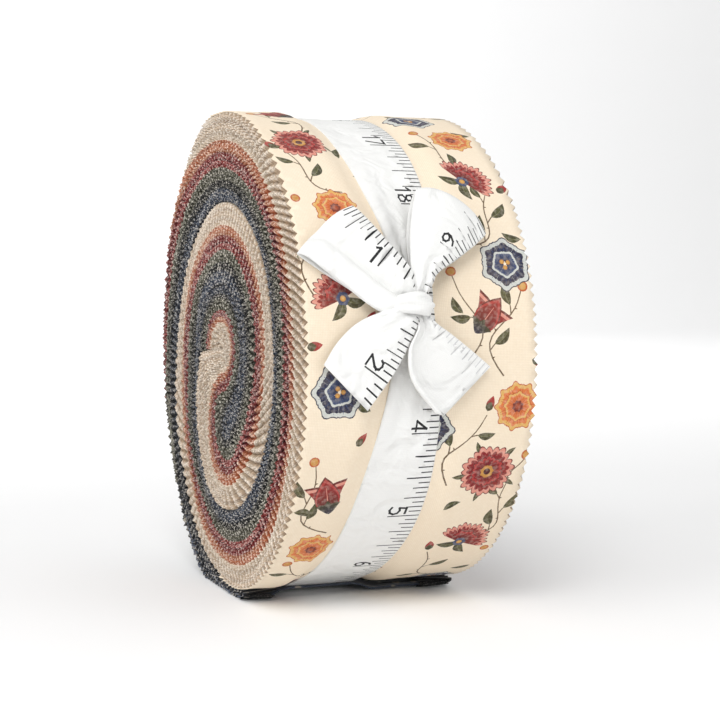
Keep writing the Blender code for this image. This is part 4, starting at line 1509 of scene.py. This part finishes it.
def gridPlace(across, along, shape, railSteps=40, rowSteps=120):
    # smooth surface through the rails and rows of a bow piece
    rows = np.array(list(shape["rows"]), float)
    table = np.array(list(shape["rows"].values()), float)
    fineRails = np.linspace(0, 1, railSteps + 1)
    fineRows = np.linspace(0, rows[-1], rowSteps + 1)
    wide = np.stack([[smoothCurve(fineRails, shape["rails"], row[:, c]) for row in table]
                     for c in range(3)], axis=-1)
    # full is indexed by rail, then row
    full = np.stack([[smoothCurve(fineRows, rows, wide[:, t, c]) for t in range(railSteps + 1)]
                     for c in range(3)], axis=-1)
    i, j = np.clip(across, 0, 1) * railSteps, np.clip(along / rows[-1], 0, 1) * rowSteps
    i0, j0 = np.minimum(i.astype(int), railSteps - 1), np.minimum(j.astype(int), rowSteps - 1)
    u, w = (i - i0)[:, None], (j - j0)[:, None]
    return ((full[i0, j0] * (1 - u) + full[i0 + 1, j0] * u) * (1 - w) +
            (full[i0, j0 + 1] * (1 - u) + full[i0 + 1, j0 + 1] * u) * w)


def makeArm(name, shape):
    length = shape["length"]
    last = max(shape["rows"])
    edge = ruler["width"] / 2

    def place(x, y):
        across = (edge - x) / (2 * edge)
        along = (y if shape["outward"] else length - y) / length * last
        return fromBow(gridPlace(across, along, shape))

    shapes = rulerShapes(0, length, shape["zeroAt"], shape["topNumber"], shape["ink"])
    return printedSheet(name, 0, length, shapes, place, tapeMaterial)


def makeKnot():
    k = knotShape
    n = k["columns"] + 1
    points = []
    tilt = math.radians(k["tilt"])
    cx, cy, cz = k["centre"]
    for a in [2 * math.pi * i / k["sides"] for i in range(k["sides"])]:
        for t in [j / k["columns"] * 2 - 1 for j in range(n)]:
            wave = math.cos(t * k["ridgeTurns"] + k["ridgeBend"] * math.sin(a * 2))
            ridge = k["ridges"] * wave * (1 - abs(t)) ** 0.5
            ridge += k["unevenRidges"] * math.sin(3 * a + 4 * t)
            grow = k["puff"] * (1 - abs(t) ** k["tuck"]) + ridge
            x = (k["halfWidth"] - k["puff"] + grow) * math.cos(a)
            z = (k["halfDepth"] - k["puff"] + grow) * math.sin(a)
            pinch = 1 - k["pinch"] * math.cos(a) * math.cos(a)
            y = t * k["height"] / 2 * pinch * (1 + k["bulge"] * math.cos(a))
            points.append((cx + x * math.cos(tilt) - y * math.sin(tilt),
                           cy + x * math.sin(tilt) + y * math.cos(tilt), cz + z))
    faces = gridFaces(k["sides"], n, closed=True)
    obj = makeMesh("bowKnot", fromBow(np.array(points)), faces, tapeMaterial)
    putFlat(obj, [(0.3 * i, 0.3 * j) for i in range(k["sides"]) for j in range(n)])
    addFact(obj.data, "dye", [linear(tapeInks["ground"])] * len(obj.data.loops), "FLOAT_COLOR", "CORNER")
    addThickness(obj, ruler["thickness"], 0.0)
    return obj


bowKnot = makeKnot()
bowLeft = makeArm("bowLoopLeft", leftLoop)
bowRight = makeArm("bowLoopRight", rightLoop)
tailLeft = makeArm("bowTailLeft", leftTail)
tailRight = makeArm("bowTailRight", rightTail)
print("bow made")


# The pieces hang on the roll's body, and the CAD parts that they stand for are hidden.

for obj in coilEnds:
    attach(obj, "root")
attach(outerCloth, "root")
for obj, length in stripEnds:
    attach(obj, "root")
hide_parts("strip_roll")
for obj in coilEnds:
    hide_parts("strip_roll")
tapeWidth = ruler["width"] * mm
tapePieces = (
    (band, "tape_band", tapeWidth, bandLength, "stretched"),
    (bowLeft, "tape_loop_left", tapeWidth, leftLoop["length"] * mm, "folded"),
    (bowRight, "tape_loop_right", tapeWidth, rightLoop["length"] * mm, "folded"),
    (tailLeft, "tape_tail_left", tapeWidth, leftTail["length"] * mm, "laid"),
    (tailRight, "tape_tail_right", tapeWidth, rightTail["length"] * mm, "laid"),
    (bowKnot, "tape_knot", knotShape["flatWidth"] * mm, knotShape["flatLength"] * mm, "gathered"),
)
for obj, node, width, length, held in tapePieces:
    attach(obj, "root")
    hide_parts(node)


# Stage, light and camera.

studio = {
    "floor": 0.96,
    "floorFront": -3.0,
    "floorBack": 1.6,
    "bend": 0.6,
    "wallHeight": 3.0,
    "halfWidth": 4.0,
    "worldStrength": 0.62,
}
# name, place, size, power and target, which is the roll's middle where none is given
lights = (
    ("keyLight", (-0.55, -1.0, 1.15), 0.8, 10, None),
    ("fillLight", (1.0, -1.2, 0.5), 1.2, 3.5, None),
    ("leftLight", (-1.3, -0.3, 0.5), 0.8, 6.5, None),
    ("backdropLight", (0.0, 0.75, 1.1), 1.2, 12, (0.0, 2.2, 0.35)),
)
view = {"azimuth": -20.5, "height": 3.0, "distance": 0.46, "lens": 79.3, "shiftX": 0.048, "shiftY": -0.009}


def makeStage():
    # pale floor that curves up into the backdrop
    back, bend = studio["floorBack"], studio["bend"]
    profile = [(studio["floorFront"], 0.0)]
    for a in np.linspace(0, math.pi / 2, 12):
        profile.append((back + bend * math.sin(a), bend - bend * math.cos(a)))
    profile.append((back + bend, studio["wallHeight"]))
    points = [(x, y, z) for x in (-studio["halfWidth"], studio["halfWidth"]) for y, z in profile]
    n = len(profile)
    faces = [(k, n + k, n + k + 1, k + 1) for k in range(n - 1)]
    mat, _, surface = newMaterial("paleFloor", 0.9, 0.0)
    surface["Base Color"].default_value = (studio["floor"], studio["floor"], studio["floor"], 1)
    floor = makeMesh("floor", points, faces, mat)


def makeLight(name, place, size, power, target):
    data = bpy.data.lights.new(name, "AREA")
    data.shape = "DISK"
    data.size = size
    data.energy = power
    lamp = addObject(name, data)
    lamp.location = place
    aim = Vector(target or (axisX, axisY, axisZ)) - Vector(place)
    lamp.rotation_euler = aim.to_track_quat("-Z", "Y").to_euler()


def makeCamera():
    a, e = math.radians(view["azimuth"]), math.radians(view["height"])
    away = Vector((math.sin(a) * math.cos(e), -math.cos(a) * math.cos(e), math.sin(e)))
    data = bpy.data.cameras.new("camera")
    data.lens = view["lens"]
    data.sensor_width = 36
    data.shift_x = view["shiftX"]
    data.shift_y = view["shiftY"]
    data.clip_start = 0.01
    camera = addObject("camera", data)
    camera.location = Vector((axisX, axisY, axisZ)) + away * view["distance"]
    camera.rotation_euler = (-away).to_track_quat("-Z", "Y").to_euler()
    bpy.context.scene.camera = camera


makeStage()
makeCamera()
for light in lights:
    makeLight(*light)
world = bpy.data.worlds.new("studio")
bpy.context.scene.world = world
world.use_nodes = True
background = world.node_tree.nodes["Background"].inputs
background[0].default_value = (1, 1, 1, 1)
background[1].default_value = studio["worldStrength"]
bpy.context.scene.view_settings.view_transform = "Standard"

print("finished")
